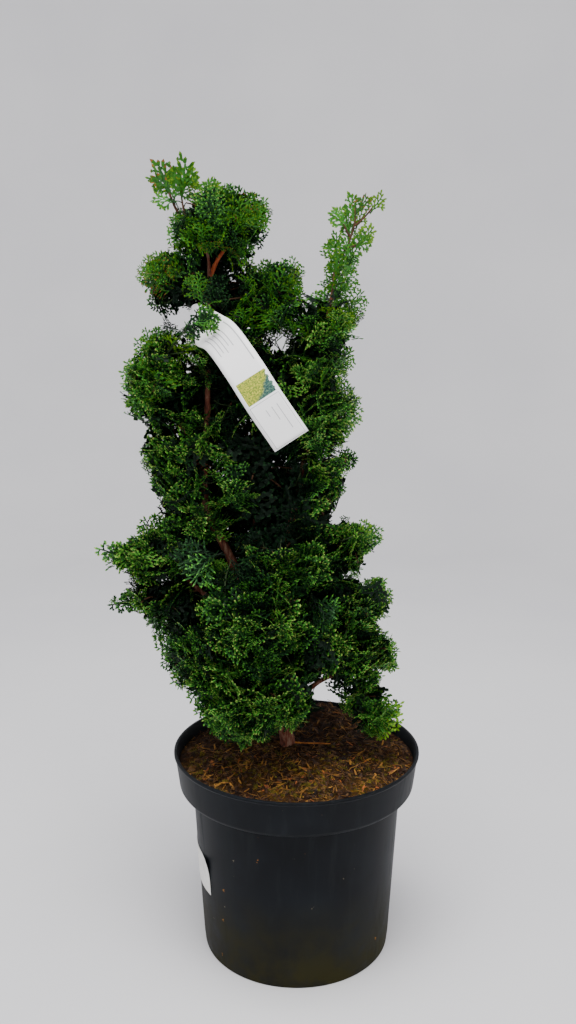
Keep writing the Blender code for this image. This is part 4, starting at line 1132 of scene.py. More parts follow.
def crown_reach(points):
    """The masses' reaches, and that of a sleeve round the stems, flowing into one without creases."""
    bare = np.linalg.norm(np.asarray(points)[:, None] - sleeve, axis=2).min(axis=1) / SLEEVE_RADIUS
    return -np.log(np.exp(-BLEND * reaches(points)).sum(axis=1) + np.exp(-BLEND * bare)) / BLEND


def crown_outward(point):
    """The direction that leads straight out of the crown at a point."""
    steps = np.concatenate([np.eye(3), -np.eye(3)]) * SKIN_STEP
    reach = crown_reach(np.array(point) + steps)
    return Vector(reach[:3] - reach[3:]).normalized()


print(len(masses), "masses, skin", round(sum(mass.skin() for mass in masses), 3), "m2")

# %% [markdown]
# ## The hang tag
# A strip of stiff white film is looped round the trunk and hangs over the foliage. It is a ribbon swept
# along stations with a thin Solidify wall. Each station gives a place in mm and the way across, as long
# as the strip's share of its full width there, because the tail that makes the loop is narrower. Its UV
# map runs across and along the strip in millimetres, so the plain ruled box and the mottled patch stay
# put on it.

# %% Hang tag
TAG_WIDTH = 0.036
TAG_THICKNESS = 0.0005
TAG_STATIONS = """
-79 -21 650  0.03 0 0.6
-76.5 -12 652  0.03 0 0.6
-85 -7.1 656  0.03 -0.013 0.6
-94 -8.5 660  0.03 0 0.6
-102 -16 662  0.06 -0.03 0.56
-94.5 -30 664  0.12 0 0.6
-82.9 -45 651.5  0.67 0.02 0.75
-69.7 -60 643.6  0.75 0.05 0.66
-49.7 -78 618  0.84 0.05 0.54
-29.4 -89 587.5  0.84 0.05 0.54
-5.5 -93.3 553  0.84 0.05 0.54
"""
TAG_STEPS, TAG_ACROSS = 10, 8

# Plain ruled lines printed on it: low and high across the strip, start and stop before its end, in mm
RULED_LINES = """
4.6 5.7 132 82
13 13.9 126 104
16.8 17.7 128 107
20.6 21.5 129 101
24.4 25.3 130 104
28.2 29.1 131 102
9.5 10.2 36 10
15 15.7 36 22
21 21.7 36 29
"""


# Colours of the printed patch's two halves, and the boxes of the patch and of the frame line round it
TAG_GREENS = ((0.32, "2C4A1C"), (0.45, "6E8A24"), (0.56, "B5B030"), (0.68, "D9CE62"))
TAG_TEALS = ((0.36, "16302E"), (0.50, "2C5650"), (0.64, "6E8E6A"))
TAG_PATCH = (0.9, 32.5, 69.5, 46.5)
FRAME_OUTSIDE, FRAME_INSIDE = (2.4, 33.2, 44.5, 1), (2.9, 32.7, 44, 1.4)


def inside_box(tree, strip, low, high, start, stop):
    """1 inside a box on the strip and 0 outside it: low to high across, start to stop before its end."""
    masks = []
    for value, least, most in ((strip[0], low, high), (strip[1], TAG_LENGTH - start, TAG_LENGTH - stop)):
        above = add_node(tree, "ShaderNodeMath", {0: value, 1: least}, operation="GREATER_THAN")
        below = add_node(tree, "ShaderNodeMath", {0: value, 1: most}, operation="LESS_THAN")
        masks.append(add_node(tree, "ShaderNodeMath", {0: above, 1: below}, operation="MULTIPLY"))
    return add_node(tree, "ShaderNodeMath", {0: masks[0], 1: masks[1]}, operation="MULTIPLY")


def tag_film():
    """Matt white polypropylene film with a thin grey box and a mottled green patch printed on it."""
    material, tree, shader = new_material("printed_white_film", "FCFBF9", 0.42, 1.49)
    # The strip's own map is in millimetres, so a blotch of 1700 is 1.7 mm wide
    uv = add_node(tree, "ShaderNodeUVMap", uv_map="strip")
    strip = add_node(tree, "ShaderNodeSeparateXYZ", {"Vector": uv}).outputs
    fine = add_node(tree, "ShaderNodeTexNoise", blotches(uv, 1700, 4, 0.75))
    leaves = add_node(tree, "ShaderNodeValToRGB", {"Fac": fine}, stops=TAG_GREENS)
    teal = add_node(tree, "ShaderNodeValToRGB", {"Fac": fine}, stops=TAG_TEALS)
    coarse = add_node(tree, "ShaderNodeTexNoise", blotches(uv, 9000, 2))
    coarse = add_node(tree, "ShaderNodeMath", {0: coarse, 1: 14.0}, operation="MULTIPLY")
    slant = add_node(tree, "ShaderNodeMath", {0: strip[1], 1: TAG_LENGTH - 67}, operation="SUBTRACT")
    slant = add_node(tree, "ShaderNodeMath", {0: slant, 1: strip[0]}, operation="SUBTRACT")
    low_side = add_node(tree, "ShaderNodeMath", {0: coarse, 1: slant}, operation="ADD")
    low_side = add_node(tree, "ShaderNodeMapRange", span(low_side, 4.0, 9.0))
    leaves = add_node(tree, "ShaderNodeMix", {0: low_side, 6: leaves, 7: teal}, data_type="RGBA")
    ragged = add_node(tree, "ShaderNodeTexNoise", blotches(uv, 5000, 3))
    ragged = add_node(tree, "ShaderNodeMath", {0: ragged, 1: 7.0}, operation="MULTIPLY")
    ragged = add_node(tree, "ShaderNodeMath", {0: strip[0], 1: ragged}, operation="SUBTRACT")
    ragged = add_node(tree, "ShaderNodeMath", {0: ragged, 1: -0.6}, operation="GREATER_THAN")
    links = {0: inside_box(tree, strip, *TAG_PATCH), 1: ragged}
    patch = add_node(tree, "ShaderNodeMath", links, operation="MULTIPLY")
    colour = add_node(tree, "ShaderNodeMix", {0: patch, 6: "FCFBF9", 7: leaves}, data_type="RGBA")
    links = {0: inside_box(tree, strip, *FRAME_OUTSIDE), 1: inside_box(tree, strip, *FRAME_INSIDE)}
    lines = add_node(tree, "ShaderNodeMath", links, operation="SUBTRACT")
    for row in table_rows(RULED_LINES):
        links = {0: lines, 1: inside_box(tree, strip, *row)}
        lines = add_node(tree, "ShaderNodeMath", links, operation="MAXIMUM")
    lines = add_node(tree, "ShaderNodeMapRange", span(lines, 0, 1, 0, 0.6))
    colour = add_node(tree, "ShaderNodeMix", {0: lines, 6: colour, 7: "5D6268"}, data_type="RGBA")
    grain = add_node(tree, "ShaderNodeTexNoise", blotches(uv, 3500, 2))
    bumps = add_node(tree, "ShaderNodeBump", {"Height": grain, "Distance": 0.00005, "Strength": 0.3})
    set_inputs(tree, shader, {"Base Color": colour, "Normal": bumps})
    return material


stations = [triples(row) for row in table_rows(TAG_STATIONS)]
tag_path = smooth_path([metres(place) for place, way in stations], TAG_STEPS)
tag_ways = [way * TAG_WIDTH for way in smooth_path([way for place, way in stations], TAG_STEPS)]
run = np.cumsum([0.0] + [(b - a).length for a, b in zip(tag_path, tag_path[1:])]) * 1000
shares = [j / TAG_ACROSS - 0.5 for j in range(TAG_ACROSS + 1)]
grid = [[place + way * share for share in shares] for place, way in zip(tag_path, tag_ways)]
faces = grid_faces(len(grid) - 1, TAG_ACROSS)
tag_points = [point for row in grid for point in row]
TAG_LENGTH = float(run[-1])
tag = mesh_object("hang_tag_film", tag_points, faces, materials=[tag_film()], smooth=True)
strip = tag.data.uv_layers.new(name="strip")
for loop in tag.data.loops:
    row, column = divmod(loop.vertex_index, TAG_ACROSS + 1)
    strip.data[loop.index].uv = (TAG_WIDTH * 1000 * (1 - column / TAG_ACROSS), run[row])
wall = tag.modifiers.new("film", "SOLIDIFY")
wall.thickness = TAG_THICKNESS
wall.offset = 0
settle(tag)
hand_over(tag, "tag", "hang_tag")
tag_points = np.array([tuple(p) for p in tag_points])
print("tag length, mm:", round(run[-1]))

# %% [markdown]
# ## Growing the foliage
# Inside a mass a few main twigs leave the stem and bend outwards and up. Each fan is placed by the point
# that its tip reaches: those points lie evenly on the skin, which swells and sinks a little. The fan
# leans between straight out and straight up, and it shrinks until it clears the limbs, the tag, the
# soil and the openings that the real plant shows: hollows, windows in front of the bark and gaps of
# sky. Broad fans fill the inside, all dealt the shade tone as painted shade. The outer sprays' tones
# paint light and shade by how much light their places get.

# %% Growth settings
FANS_PER_AREA = 9200
SHADE_PER_AREA = 2000
FAN_LENGTH = 0.035
SHADE_LENGTH = 0.036
FAN_TRIES = (1.0, 0.84, 0.70, 0.58, 0.46)
THIN_FAN_LENGTH = 0.026
OVERLAP = 0.10
WOOD_MARGIN = 0.0015
TAG_MARGIN = 0.0035
LUMP_SIZE = Vector((0.026, 0.026, 0.050))
LUMP_DEPTH = 0.17
YOUNG_FROM, YOUNG_OVER = 0.58, 0.12
PAINTED_SHADE_SHARE = 0.85
BRONZE_FROM, BRONZE_SHARE = 0.70, 0.10
COMB_SHARE = 0.15

# Hollows and clefts between the sprays: both ends of a line, and the radius round it that stays empty, in mm
HOLLOWS = """
-119 -34 683  -119 -34 684  13
-84 -30 712  -84 -30 713  10
-23 -52 532  -16 -54 462  18
-43 -56 484  -36 -58 460  7
10 -54 408  16 -54 376  10
"""

# Deep places that little light reaches: a line, and the radius round it where leaves take the painted
# shade tone, in mm
PAINTED_SHADE_PLACES = """
-119 -34 676  -118 -28 686  22
-84 -26 712  -80 -26 700  18
-20 -34 538  -12 -40 440  30
-42 -36 480  -34 -44 446  18
-87 -32 636  -60 -34 576  15
-115 -52 389  -97 -58 377  17
10 -48 408  16 -48 372  22
-58 -50 440  -70 -50 412  16
"""

# Bark that shows between the sprays: a point of a limb, and the radius of the window in front of it, in mm
WINDOWS = """
-88 -20 581  4
-88 -20 572  6
-92 -20 524  3
-73 -22 437  8
-67 -22 426  6
-84 -18 711  7
-82 -18 718  8
-72 -14 722  6
-73.5 -20 688  4
-10 4 226  10
-12 0 218  14
-97 -18 668  11
-101 -18 647  6
"""

# Sky that shows through the crown or cuts into its outline: where the line of sight passes the
# plane y = 0, as x and z, and the radius of the gap there, in mm
SKY_GAPS = """
36 280 9  28 285 6  43 282 6  29 275 8  -112 663 8  -115 621 4  -89 568 2  -19 641 7.5  -60 702 4
-22 728 8  16 706 9  -154 268 26  -117 237 18  -178 351 14  -187 458 13  57 478 13  81 417 8  69 645 13
95 355 9  102 285 9  -147 665 13  -135 744 12  -34 722 7  -13 720 8  -23 733 7  13 695 8  -159 491 11
-149 468 9  -165 655 8  -189 406 8  70 209 14  94 198 16  51 223 10  30 245 9  76 701 22  -17 733 19
-181 461 23  69 500 20  -155 290 23  -183 349 21  -122 265 15  85 419 16  61 540 10  -191 396 16
64 606 13  18 715 15  -159 508 11  -152 683 9  51 686 6  106 283 16  -164 554 11  52 637 6  42 463 6
-116 662 9  -148 316 8  -38 716 7  64 619 12  -164 357 8  -132 733 9  14 690 8  71 404 5  94 294 6
-171 648 22  -113 613 3  47 532 4  57 241 11  72 221 9  -92 800 4  -104 774 4  -129 765 9  24 718 7
-118 677 4  -144 479 6  45 739 4  -96 576 3  -61 696 4  87 303 3  -106 666 4
"""

# A fan's outline in its own plane, as shares of its length: half of it, then both halves and the middle
HALF_OUTLINE = [(0.98, 0.14), (0.94, 0.26), (0.87, 0.40), (0.76, 0.50), (0.62, 0.47), (0.40, 0.33)]
both_halves = [(x, side * y, 0) for x, y in HALF_OUTLINE for side in (-1, 1)]
OUTLINE = np.array([(1.0, 0, 0), *both_halves, (0.55, 0, 0)])

# The sights as arrays: their directions, how fast they widen and where they stop
SKY_LIMIT, WINDOW_LIMIT = 9.0, 1.0
EYE = np.array(CAMERA_PLACE)
sky_gaps = np.array(triples([n for row in table_rows(SKY_GAPS) for n in row])) / 1000
windows = np.array(table_rows(WINDOWS)) / 1000
sight_runs = np.vstack([np.insert(sky_gaps[:, :2], 1, 0, axis=1), windows[:, :3]]) - EYE
sight_lengths = np.linalg.norm(sight_runs, axis=1)
sight_ways = sight_runs / sight_lengths[:, None]
sight_spread = np.concatenate([sky_gaps[:, 2], windows[:, 3]]) / sight_lengths
sight_ends = sight_lengths * np.repeat([SKY_LIMIT, WINDOW_LIMIT], [len(sky_gaps), len(windows)])


def as_lines(table):
    """A table of (start, stop, radius) as arrays of starts, runs and radii in metres."""
    rows = np.array(table_rows(table)) / 1000
    return rows[:, :3], rows[:, 3:6] - rows[:, :3], rows[:, 6]


hollow_lines, painted_shade_lines = as_lines(HOLLOWS), as_lines(PAINTED_SHADE_PLACES)


# %% Where a fan fits
def line_reach(points, lines):
    """How near each point lies to any of some lines: 0 on the line and 1 at its radius."""
    starts, runs, radii = lines
    share = ((points[:, None] - starts) * runs).sum(axis=2) / (runs**2).sum(axis=1)
    nearest = starts + runs * np.clip(share, 0, 1)[:, :, None]
    return (np.linalg.norm(points[:, None] - nearest, axis=2) / radii).min(axis=1)


def clear_of_gaps(points):
    """Whether the points stay out of the hollows and out of the lines of sight through the crown."""
    if line_reach(points, hollow_lines).min() < 1:
        return False
    rays = points - EYE
    along = rays @ sight_ways.T
    away = np.sqrt(np.maximum(0, (rays**2).sum(axis=1)[:, None] - along**2))
    return not ((away < sight_spread * along) & (along < sight_ends)).any()


def fits(mass, points, skin=1.02):
    """Whether a fan's outline stays in its space, above the soil and off the wood and the tag."""
    if crown_reach(points).max() > skin or points[:, 2].min() < POT_HEIGHT + 0.002:
        return False
    middle = reaches(points[-1:])[0]
    if middle.min() < middle[masses.index(mass)] - OVERLAP:
        return False
    if (np.linalg.norm(points[:, None] - limb_points, axis=2) - limb_radii).min() < WOOD_MARGIN:
        return False
    if np.linalg.norm(points[:, None] - tag_points, axis=2).min() < TAG_MARGIN:
        return False
    return clear_of_gaps(points)


def fan_turn(heading, facing, roll):
    """The turn that lays a fan's axis along a heading, its flat side towards a direction but for a roll."""
    side = heading.cross(facing + heading.orthogonal() * 0.01).normalized()
    side.rotate(Matrix.Rotation(roll, 3, heading))
    return Matrix((heading, side, heading.cross(side))).transposed()


# %% Fans of one mass
def lump(place):
    """A smooth swelling and sinking of the foliage, from about -1 to 1."""
    return 1.6 * noise.noise(Vector(a / b for a, b in zip(place, LUMP_SIZE)))


def pick_tone(chance, mass, tip):
    """Deals a spray its colours by how much light its place gets: painted light and painted shade."""
    out = (tip - mass.centre).normalized()
    # Painted light: sprays that face up, stand high or sit on a swelling are dealt lighter tones, and a mass's
    # last column adds to it
    light = 0.44 + 0.26 * out.z + 0.7 * (tip.z - 0.5) + 0.55 * lump(tip) + mass.young
    # Sprays in the deep places are mostly dealt the shade tone, a painted shade
    if line_reach(np.array([tip]), painted_shade_lines)[0] < 1 and chance.random() < PAINTED_SHADE_SHARE:
        return "shade"
    if tip.z > BRONZE_FROM and chance.random() < BRONZE_SHARE:
        return "bronze"
    shaded = (max(0.05, 0.5 - light), max(0.1, 1.2 - light))
    weights = (*shaded, 1.0, 0.9, max(0.05, 1.2 * light - 0.30), max(0.0, 0.8 * light - 0.45))
    tone = chance.choices(("shade", "dark", "middle", "fresh", "bright", "lime"), weights)[0]
    if chance.random() < (tip.z - YOUNG_FROM) / YOUNG_OVER:
        tone = {"fresh": "young", "bright": "young", "lime": "tender"}.get(tone, tone)
    return tone


def skin_share(mass, way):
    """How far out along a direction the crown's skin lies, as a share of the mass's own reach."""
    shares = np.arange(0.5, 1.46, 0.03)
    start, run = np.array(mass.centre), np.array(mass.surface(way) - mass.centre)
    outside = crown_reach(start + run * shares[:, None]) > 1
    return float(shares[int(np.argmax(outside))]) if outside.any() else float(shares[-1])


def skin_way(chance, i, count, spin):
    """The i-th of many directions spread evenly over a ball, a little astray."""
    height = 1 - 2 * (i + 0.5) / count
    ring = math.sqrt(1 - height * height)
    angle = spin + i * GOLDEN_ANGLE
    way = Vector((ring * math.cos(angle), ring * math.sin(angle), height))
    return (way + Vector([chance.uniform(-0.1, 0.1) for _ in range(3)])).normalized()


def tip_at(mass, way, share):
    """The point at a share of the way from the mass's middle to the crown's skin."""
    return mass.centre + (mass.surface(way) - mass.centre) * skin_share(mass, way) * share


def try_sizes(mass, tip, heading, facing, roll, length):
    """The largest fan of a few sizes that fits with its tip here: its root, turn and length, or None."""
    turn = fan_turn(heading, facing, roll)
    for size in FAN_TRIES:
        root = tip - heading * length * size
        outline = np.array(root) + OUTLINE @ np.array(turn).T * length * size
        if fits(mass, outline):
            return root, turn, length * size
    return None


def grow_fans(mass, chance):
    """Rows of (root, turn, length, kind, tone) for a mass: its outer fans, then its inner ones in painted shade.
    """
    found = []
    count = round(FANS_PER_AREA * mass.skin())
    spin = chance.random() * 2 * math.pi
    for i in range(count):
        way = skin_way(chance, i, count, spin)
        tip = tip_at(mass, way, chance.uniform(0.88, 0.99))
        tip += (tip - mass.centre) * LUMP_DEPTH * (lump(tip) - 0.35)
        if reaches([tip])[0].min() < mass.reach(tip) - OVERLAP * 1.5 or tip.z > mass.bare_above:
            continue
        outward = crown_outward(tip)
        aside = outward.cross(UP + outward * 0.05).normalized() * chance.uniform(-0.45, 0.45)
        way_it_grows = chance.choices(("out", "shelf", "upright"), (5, 2, 3))[0]
        rise = chance.uniform(0.5, 1.3) if way_it_grows == "upright" else chance.uniform(-0.2, 0.5)
        heading = (outward + UP * rise + aside).normalized()
        facing = outward if way_it_grows == "upright" else UP
        most_roll = 1.6 if way_it_grows == "out" else 0.7
        roll = chance.uniform(-most_roll, most_roll)
        kinds = kind_numbers["plume" if mass.is_thin else "comb" if chance.random() < COMB_SHARE else "shell"]
        length = (THIN_FAN_LENGTH if mass.is_thin else FAN_LENGTH) * chance.uniform(0.78, 1.15)
        tone, kind = pick_tone(chance, mass, tip), chance.choice(kinds)
        placed = try_sizes(mass, tip, heading, facing, roll, length)
        if placed:
            found.append((*placed, kind, tone))
    # The inner fans all take the shade tone, a painted shade for the crown's inside
    inner_count = 0 if mass.is_thin else round(SHADE_PER_AREA * mass.skin())
    for i in range(inner_count):
        way = skin_way(chance, i, inner_count, spin)
        tip = tip_at(mass, way, chance.uniform(0.36, 0.76))
        heading = (way + Vector([chance.uniform(-0.8, 0.8) for _ in range(3)])).normalized()
        placed = try_sizes(mass, tip, heading, way, chance.uniform(-0.6, 0.6), SHADE_LENGTH)
        if placed:
            found.append((*placed, chance.choice(kind_numbers["shade"]), "shade"))
    return found


# %% [markdown]
# The longest sprays give the crown its outline: the wings' tips, the leaders at the top and the low
# skirt. Each is placed by its own tip and heading. Others are dark or pale sprays that stand out on the
# crown's front: their dark and shade tones are painted shade, and their bright tones are partly painted light.

# %% Leading sprays
# Under each mass's name its long sprays: tip in mm, heading, length in mm, tone and kind
LEADERS = """
left_wing
-206 0 434  -1 0 0.3  44 fresh spear
-197 -10 430  -1 -0.2 0.05  36 middle spear
-188 -6 420  -1 -0.2 -0.1  34 fresh spear
-172 -6 444  -0.7 -0.1 0.6  30 bright spear
-153 -4 468  -0.5 -0.1 0.9  34 fresh shell
-142 -6 470  -0.2 -0.1 1  30 bright spear
-160 -4 456  -0.5 -0.1 0.8  28 bright spear
-118 -46 436  -1 -0.2 0.05  48 dark comb
-117 -48 424  -0.9 -0.2 -0.25  46 dark comb
-108 -50 412  -0.7 -0.2 -0.6  42 middle comb
left_wing_low
-195 0 373  -1 0 -0.1  40 dark spear
-186 -12 378  -1 -0.2 0  34 middle spear
-153 -10 357  -0.8 -0.2 -0.5  30 fresh spear
left_skirt
-150 -6 341  -1 -0.1 -0.2  30 fresh spear
-146 -6 352  -1 -0.1 0  30 middle spear
-133 -6 289  -0.9 0 -0.5  34 fresh spear
-130 -12 302  -1 -0.1 -0.1  32 bright spear
-121 -48 298  -0.5 -0.4 -1  30 fresh spear
-145 -10 327  -0.9 -0.1 -0.4  30 fresh shell
-149 -8 340  -1 -0.1 -0.2  30 fresh shell
-141 -10 311  -0.9 -0.1 -0.4  28 middle shell
top_twin_sprays
-130 0 809  -0.3 0 1  34 bronze plume
-127 10 803  -0.2 0.35 1  30 young plume
-106 0 811  0.12 0 1  36 young plume
-107 -12 800  0.1 -0.4 1  30 young plume
-94 3 800  0.75 0.1 0.8  28 tender plume
-138 -2 775  -1 0 0.2  24 young plume
-140 3 794  -0.9 0.1 0.6  24 young plume
-117 4 796  0 0.2 1  26 young plume
-101 0 785  0.6 0 0.4  20 young plume
right_plume
54 0 778  0 0 1  26 young plume
67 -4 775  0.6 0 0.9  22 bronze plume
81 0 778  0.55 0 0.9  22 tender plume
32 0 763  -0.75 0 0.8  24 young plume
40 8 768  -0.3 0.3 0.9  22 young plume
50 4 762  0 0 1  22 young plume
62 2 764  0.3 0 1  20 tender plume
74 -2 748  0.7 0 0.8  24 tender plume
73 6 738  1 0.2 0.5  22 young plume
26 -2 734  -0.9 0 0.5  24 young plume
36 -6 743  -0.1 -0.3 1  22 young plume
47 -6 738  -0.1 -0.2 1  22 young plume
56 4 734  0.3 0.1 1  22 young plume
62 -10 744  0.3 -0.5 1  22 young plume
50 10 752  0 0.5 1  22 young plume
57 -4 722  0.5 -0.2 0.9  24 young spear
54 6 708  0.6 0.2 0.8  24 young spear
52 -6 694  0.6 -0.2 0.7  24 young spear
29 -4 716  -0.3 -0.2 1  24 young spear
26 4 702  -0.5 0.2 0.9  22 young spear
42 -12 722  0.2 -0.4 1  26 young plume
40 12 722  0 0.4 1  26 young plume
40 -14 702  0.1 -0.4 1  26 young plume
57 0 706  0.6 0 0.8  26 young shell
40 -4 735  0.1 -0.2 1  28 young shell
48 4 720  0.3 0.2 1  28 young shell
36 4 705  0 0.2 1  28 middle shell
right_wing_top
87 0 448  0.8 0 0.6  32 bright spear
70 -10 466  0.15 -0.1 1  30 tender spear
48 -4 462  -0.1 -0.1 1  28 fresh spear
80 -4 436  0.9 0 0.3  30 bright spear
83 0 456  0.6 0 0.8  28 bright spear
85 -2 455  0.7 0 0.8  28 bright shell
70 -4 462  0.2 -0.1 1  26 bright shell
right_wing
100 0 382  0.95 0 0.15  34 fresh shell
89 -6 403  0.6 -0.1 0.7  28 bright spear
94 0 400  0.8 0 0.5  28 bright spear
100 -2 383  0.9 0 0.2  28 bright shell
right_wing_low
109 0 322  1 0 0.05  34 bright spear
106 -6 305  0.8 -0.1 -0.4  30 fresh spear
94 -4 344  0.5 -0.1 0.8  28 fresh spear
108 0 301  0.95 0 -0.3  28 young spear
103 -10 332  0.9 -0.2 0.4  28 bright spear
right_skirt
107 -12 258  0.65 -0.1 -0.6  36 young spear
104 -24 243  0.55 -0.3 -0.75  38 tender shell
94 -34 240  0.45 -0.4 -0.75  34 tender shell
84 -38 247  0.4 -0.5 -0.7  34 young spear
92 -18 262  0.55 -0.3 -0.75  34 young spear
72 -34 262  0.35 -0.5 -0.75  32 middle spear
45 -12 273  -0.1 -0.2 -1  32 dark shell
53 -14 270  0 -0.2 -1  34 middle shell
right_spur
62 0 521  0.95 0 -0.1  26 dark spear
53 0 534  0.5 0 0.8  20 middle spear
52 -2 509  0.9 0 0.1  18 bright spear
58 0 527  0.8 0 0.5  24 dark shell
62 -4 521  0.9 -0.1 -0.1  24 middle shell
53 -4 514  0.7 0 -0.4  20 fresh shell
right_flank
57 -4 591  0.6 0 0.8  28 bright spear
62 -2 570  0.8 0 0.5  26 bright spear
51 -2 545  0.9 0 0.2  28 fresh spear
56 -4 556  0.9 -0.1 0.5  28 bright spear
51 -2 606  0.7 0 0.8  26 young spear
63 -2 576  0.7 0 0.7  28 bright shell
54 -2 598  0.7 0 0.7  26 bright shell
right_shoulder
64 -4 680  0.75 0 0.65  28 young spear
59 -2 666  0.8 0 0.5  26 young spear
53 -2 630  0.7 -0.1 0.7  28 young spear
53 -4 617  0.9 -0.1 0.3  26 bright spear
66 0 687  0.7 0 0.9  28 young shell
28 -4 691  0.1 0 1  26 young shell
57 -2 630  0.8 0 0.5  28 young shell
crown_head
-78 0 793  -0.1 0 1  28 young spear
-98 -4 777  -0.6 0 0.8  26 bronze spear
-64 -4 784  0.2 0 1  26 bronze spear
-27 0 774  0.7 0 0.7  26 young spear
-24 0 752  1 0 -0.15  28 young spear
-35 0 731  0.6 0 -0.7  24 dark spear
-125 -2 742  -1 0 -0.35  28 fresh spear
-123 -4 757  -1 -0.1 0.2  28 young spear
-103 0 784  -0.6 0 0.8  26 bronze spear
-38 -4 728  0.5 0 -0.8  24 middle spear
-48 -6 716  0.2 0 -1  26 middle spear
-33 -2 728  0.6 0 -0.7  26 dark shell
-125 -2 733  -0.9 0 -0.5  28 young shell
-88 -40 784  -0.4 -0.3 1  28 young shell
-77 -44 780  0.2 -0.3 1  28 fresh shell
-84 -48 770  -0.3 -0.4 0.9  28 middle shell
left_shoulder
-148 -2 720  -0.8 0 0.6  28 young spear
-154 -2 700  -1 0 0.1  28 young spear
-146 -4 674  -0.8 0 -0.6  26 middle spear
-134 -4 666  -0.4 0 -1  24 dark spear
-122 -4 727  -0.1 0 1  28 young spear
-135 -4 726  -0.4 0 1  28 young spear
-88 -36 703  0.4 -0.2 1  24 young shell
-94 -36 698  -0.2 -0.2 1  24 young shell
-139 -4 667  -0.7 -0.1 -0.8  28 dark shell
middle_head
-1 0 714  0.3 0 1  26 young spear
5 0 700  0.5 0 0.8  26 young spear
-18 0 713  -0.1 0 1  24 bronze spear
-27 0 715  -0.3 0 1  22 young spear
-36 -4 712  -0.5 -0.1 0.8  24 middle spear
9 -2 685  0.8 0 0.4  26 young spear
-46 -4 720  -0.1 0 1  24 fresh spear
-77 -36 702  -0.3 -0.2 1  24 dark shell
-86 -36 690  -0.6 -0.2 0.8  22 dark shell
-75 -36 690  -0.2 -0.2 1  24 dark shell
-25 -4 718  0.1 -0.1 1  26 fresh shell
-34 -4 717  -0.2 -0.1 1  26 young shell
-3 0 720  0.3 0 1  26 young shell
left_upper
-147 -4 654  -0.3 0 1  30 young spear
-134 -6 655  0.1 0 1  30 young spear
-158 -4 644  -0.6 0 0.8  30 bright spear
-176 -2 611  -1 0 0.3  32 young spear
-175 -2 600  -1 0 0.05  30 bright spear
-70.6 -66 665.5  0.9 -0.3 0.42  28 middle shell
-84 -60 658  0.9 -0.3 0.25  20 middle spear
-171 -4 621  -0.9 0 0.5  30 young spear
-74 -66 660  0.95 -0.3 0.1  24 young shell
-78 -64 665  0.8 -0.3 0.6  22 dark shell
-71.5 -63 663.5  0.9 -0.2 0.3  26 young shade
-76 -62 657  0.8 -0.2 -0.3  22 dark shade
-86 -60 655  0.9 -0.2 0.2  20 dark shade
-80 -62 654  0.3 -0.2 -0.8  18 young shell
-91 -58 652  0.8 -0.2 0.4  18 middle shell
front_skirt
-62 -4 217.5  -0.4 -0.7 -0.3  26 fresh plume
-50 0 218  0.5 -0.7 -0.3  24 middle plume
-108 -53 285  -0.5 -0.4 -1  34 bright spear
-97 -59 274  -0.4 -0.4 -1  38 middle spear
-85 -64 263  -0.3 -0.4 -1  30 bright spear
-71 -71 261  -0.2 -0.4 -1  34 fresh spear
-56 -78 258  -0.1 -0.4 -1  38 fresh spear
-42 -76 263  0.1 -0.4 -1  30 bright spear
-29 -69 259  0.15 -0.4 -1  34 middle spear
-17 -64 264  0.2 -0.4 -1  38 bright spear
-6 -59 264  0.3 -0.4 -1  30 fresh spear
6 -53 271  0.5 -0.4 -1  34 fresh spear
15 -49 279  0.7 -0.4 -0.8  38 bright spear
right_waist
45 -2 502  0.8 0 0.5  28 bright spear
42 -4 488  0.9 -0.1 0.2  28 fresh spear
-5 -36 487  0.1 -0.2 1  30 shade shell
-3 -37 468  0.3 -0.2 1  28 shade shell
front_middle
-36 -60 418  0.8 -0.2 -0.35  36 dark comb
-48 -60 408  0.5 -0.2 -0.8  34 dark comb
front_right
30 -58 366  0.4 -0.3 -0.8  42 dark comb
20 -60 356  0.1 -0.3 -1  40 dark comb
40 -54 372  0.7 -0.3 -0.6  40 middle comb
left_middle
-156 -4 536  -0.9 -0.1 0.3  28 fresh shell
centre_middle
-62 -52 528  -0.2 -0.5 1  30 middle shell
-54 -54 516  0.3 -0.5 0.9  30 fresh shell
-60 -56 500  -0.1 -0.6 0.5  28 middle shell
-52 -56 488  0.3 -0.6 0.2  28 fresh shell
"""

# The bare shoots that carry the open sprays at the top
SHOOTS = """
top_twin_sprays -97 -8 742  -114 0 761  -120 0 774  -127 0 792
top_twin_sprays -106 -4 752  -110 0 774  -109 0 790
right_plume 33 -10 682  38 0 714  47 0 727  51 0 737  55 0 752  55 0 768
right_plume 47 0 727  57 0 731  66 0 740
right_plume 55 0 748  65 0 757  73 0 767
right_plume 50 0 738  44 0 750
"""
TOWARDS_FRONT = Vector((0, -1, 0))
LEADER_ROLL = 0.25
leaders, shoots = {}, {}
for row in table_rows(LEADERS):
    if len(row) == 1:
        leaders[row[0]] = found = []
    else:
        found.append(row)
for name, *numbers in table_rows(SHOOTS):
    shoots.setdefault(name, []).append(smooth_path(triples(metres(numbers)), 4))


def grow_leaders(mass):
    """The mass's rows of the table as fans, their flat side towards the front."""
    found = []
    for *numbers, length, tone, kind in leaders.get(mass.name, []):
        tip, heading = triples(numbers)
        heading, length = Vector(heading).normalized(), length / 1000
        turn = fan_turn(heading, TOWARDS_FRONT, LEADER_ROLL)
        kinds = kind_numbers[kind]
        root = Vector(metres(tip)) - heading * length
        found.append((root, turn, length, kinds[len(found) % len(kinds)], tone))
    return found


# %% [markdown]
# Twigs join the fans to the stem. Main twigs run from the stem towards the skin, and each fan's own twig
# leaves the nearest main twig at a shallow angle, thinning towards the fan. None of them crosses a gap.

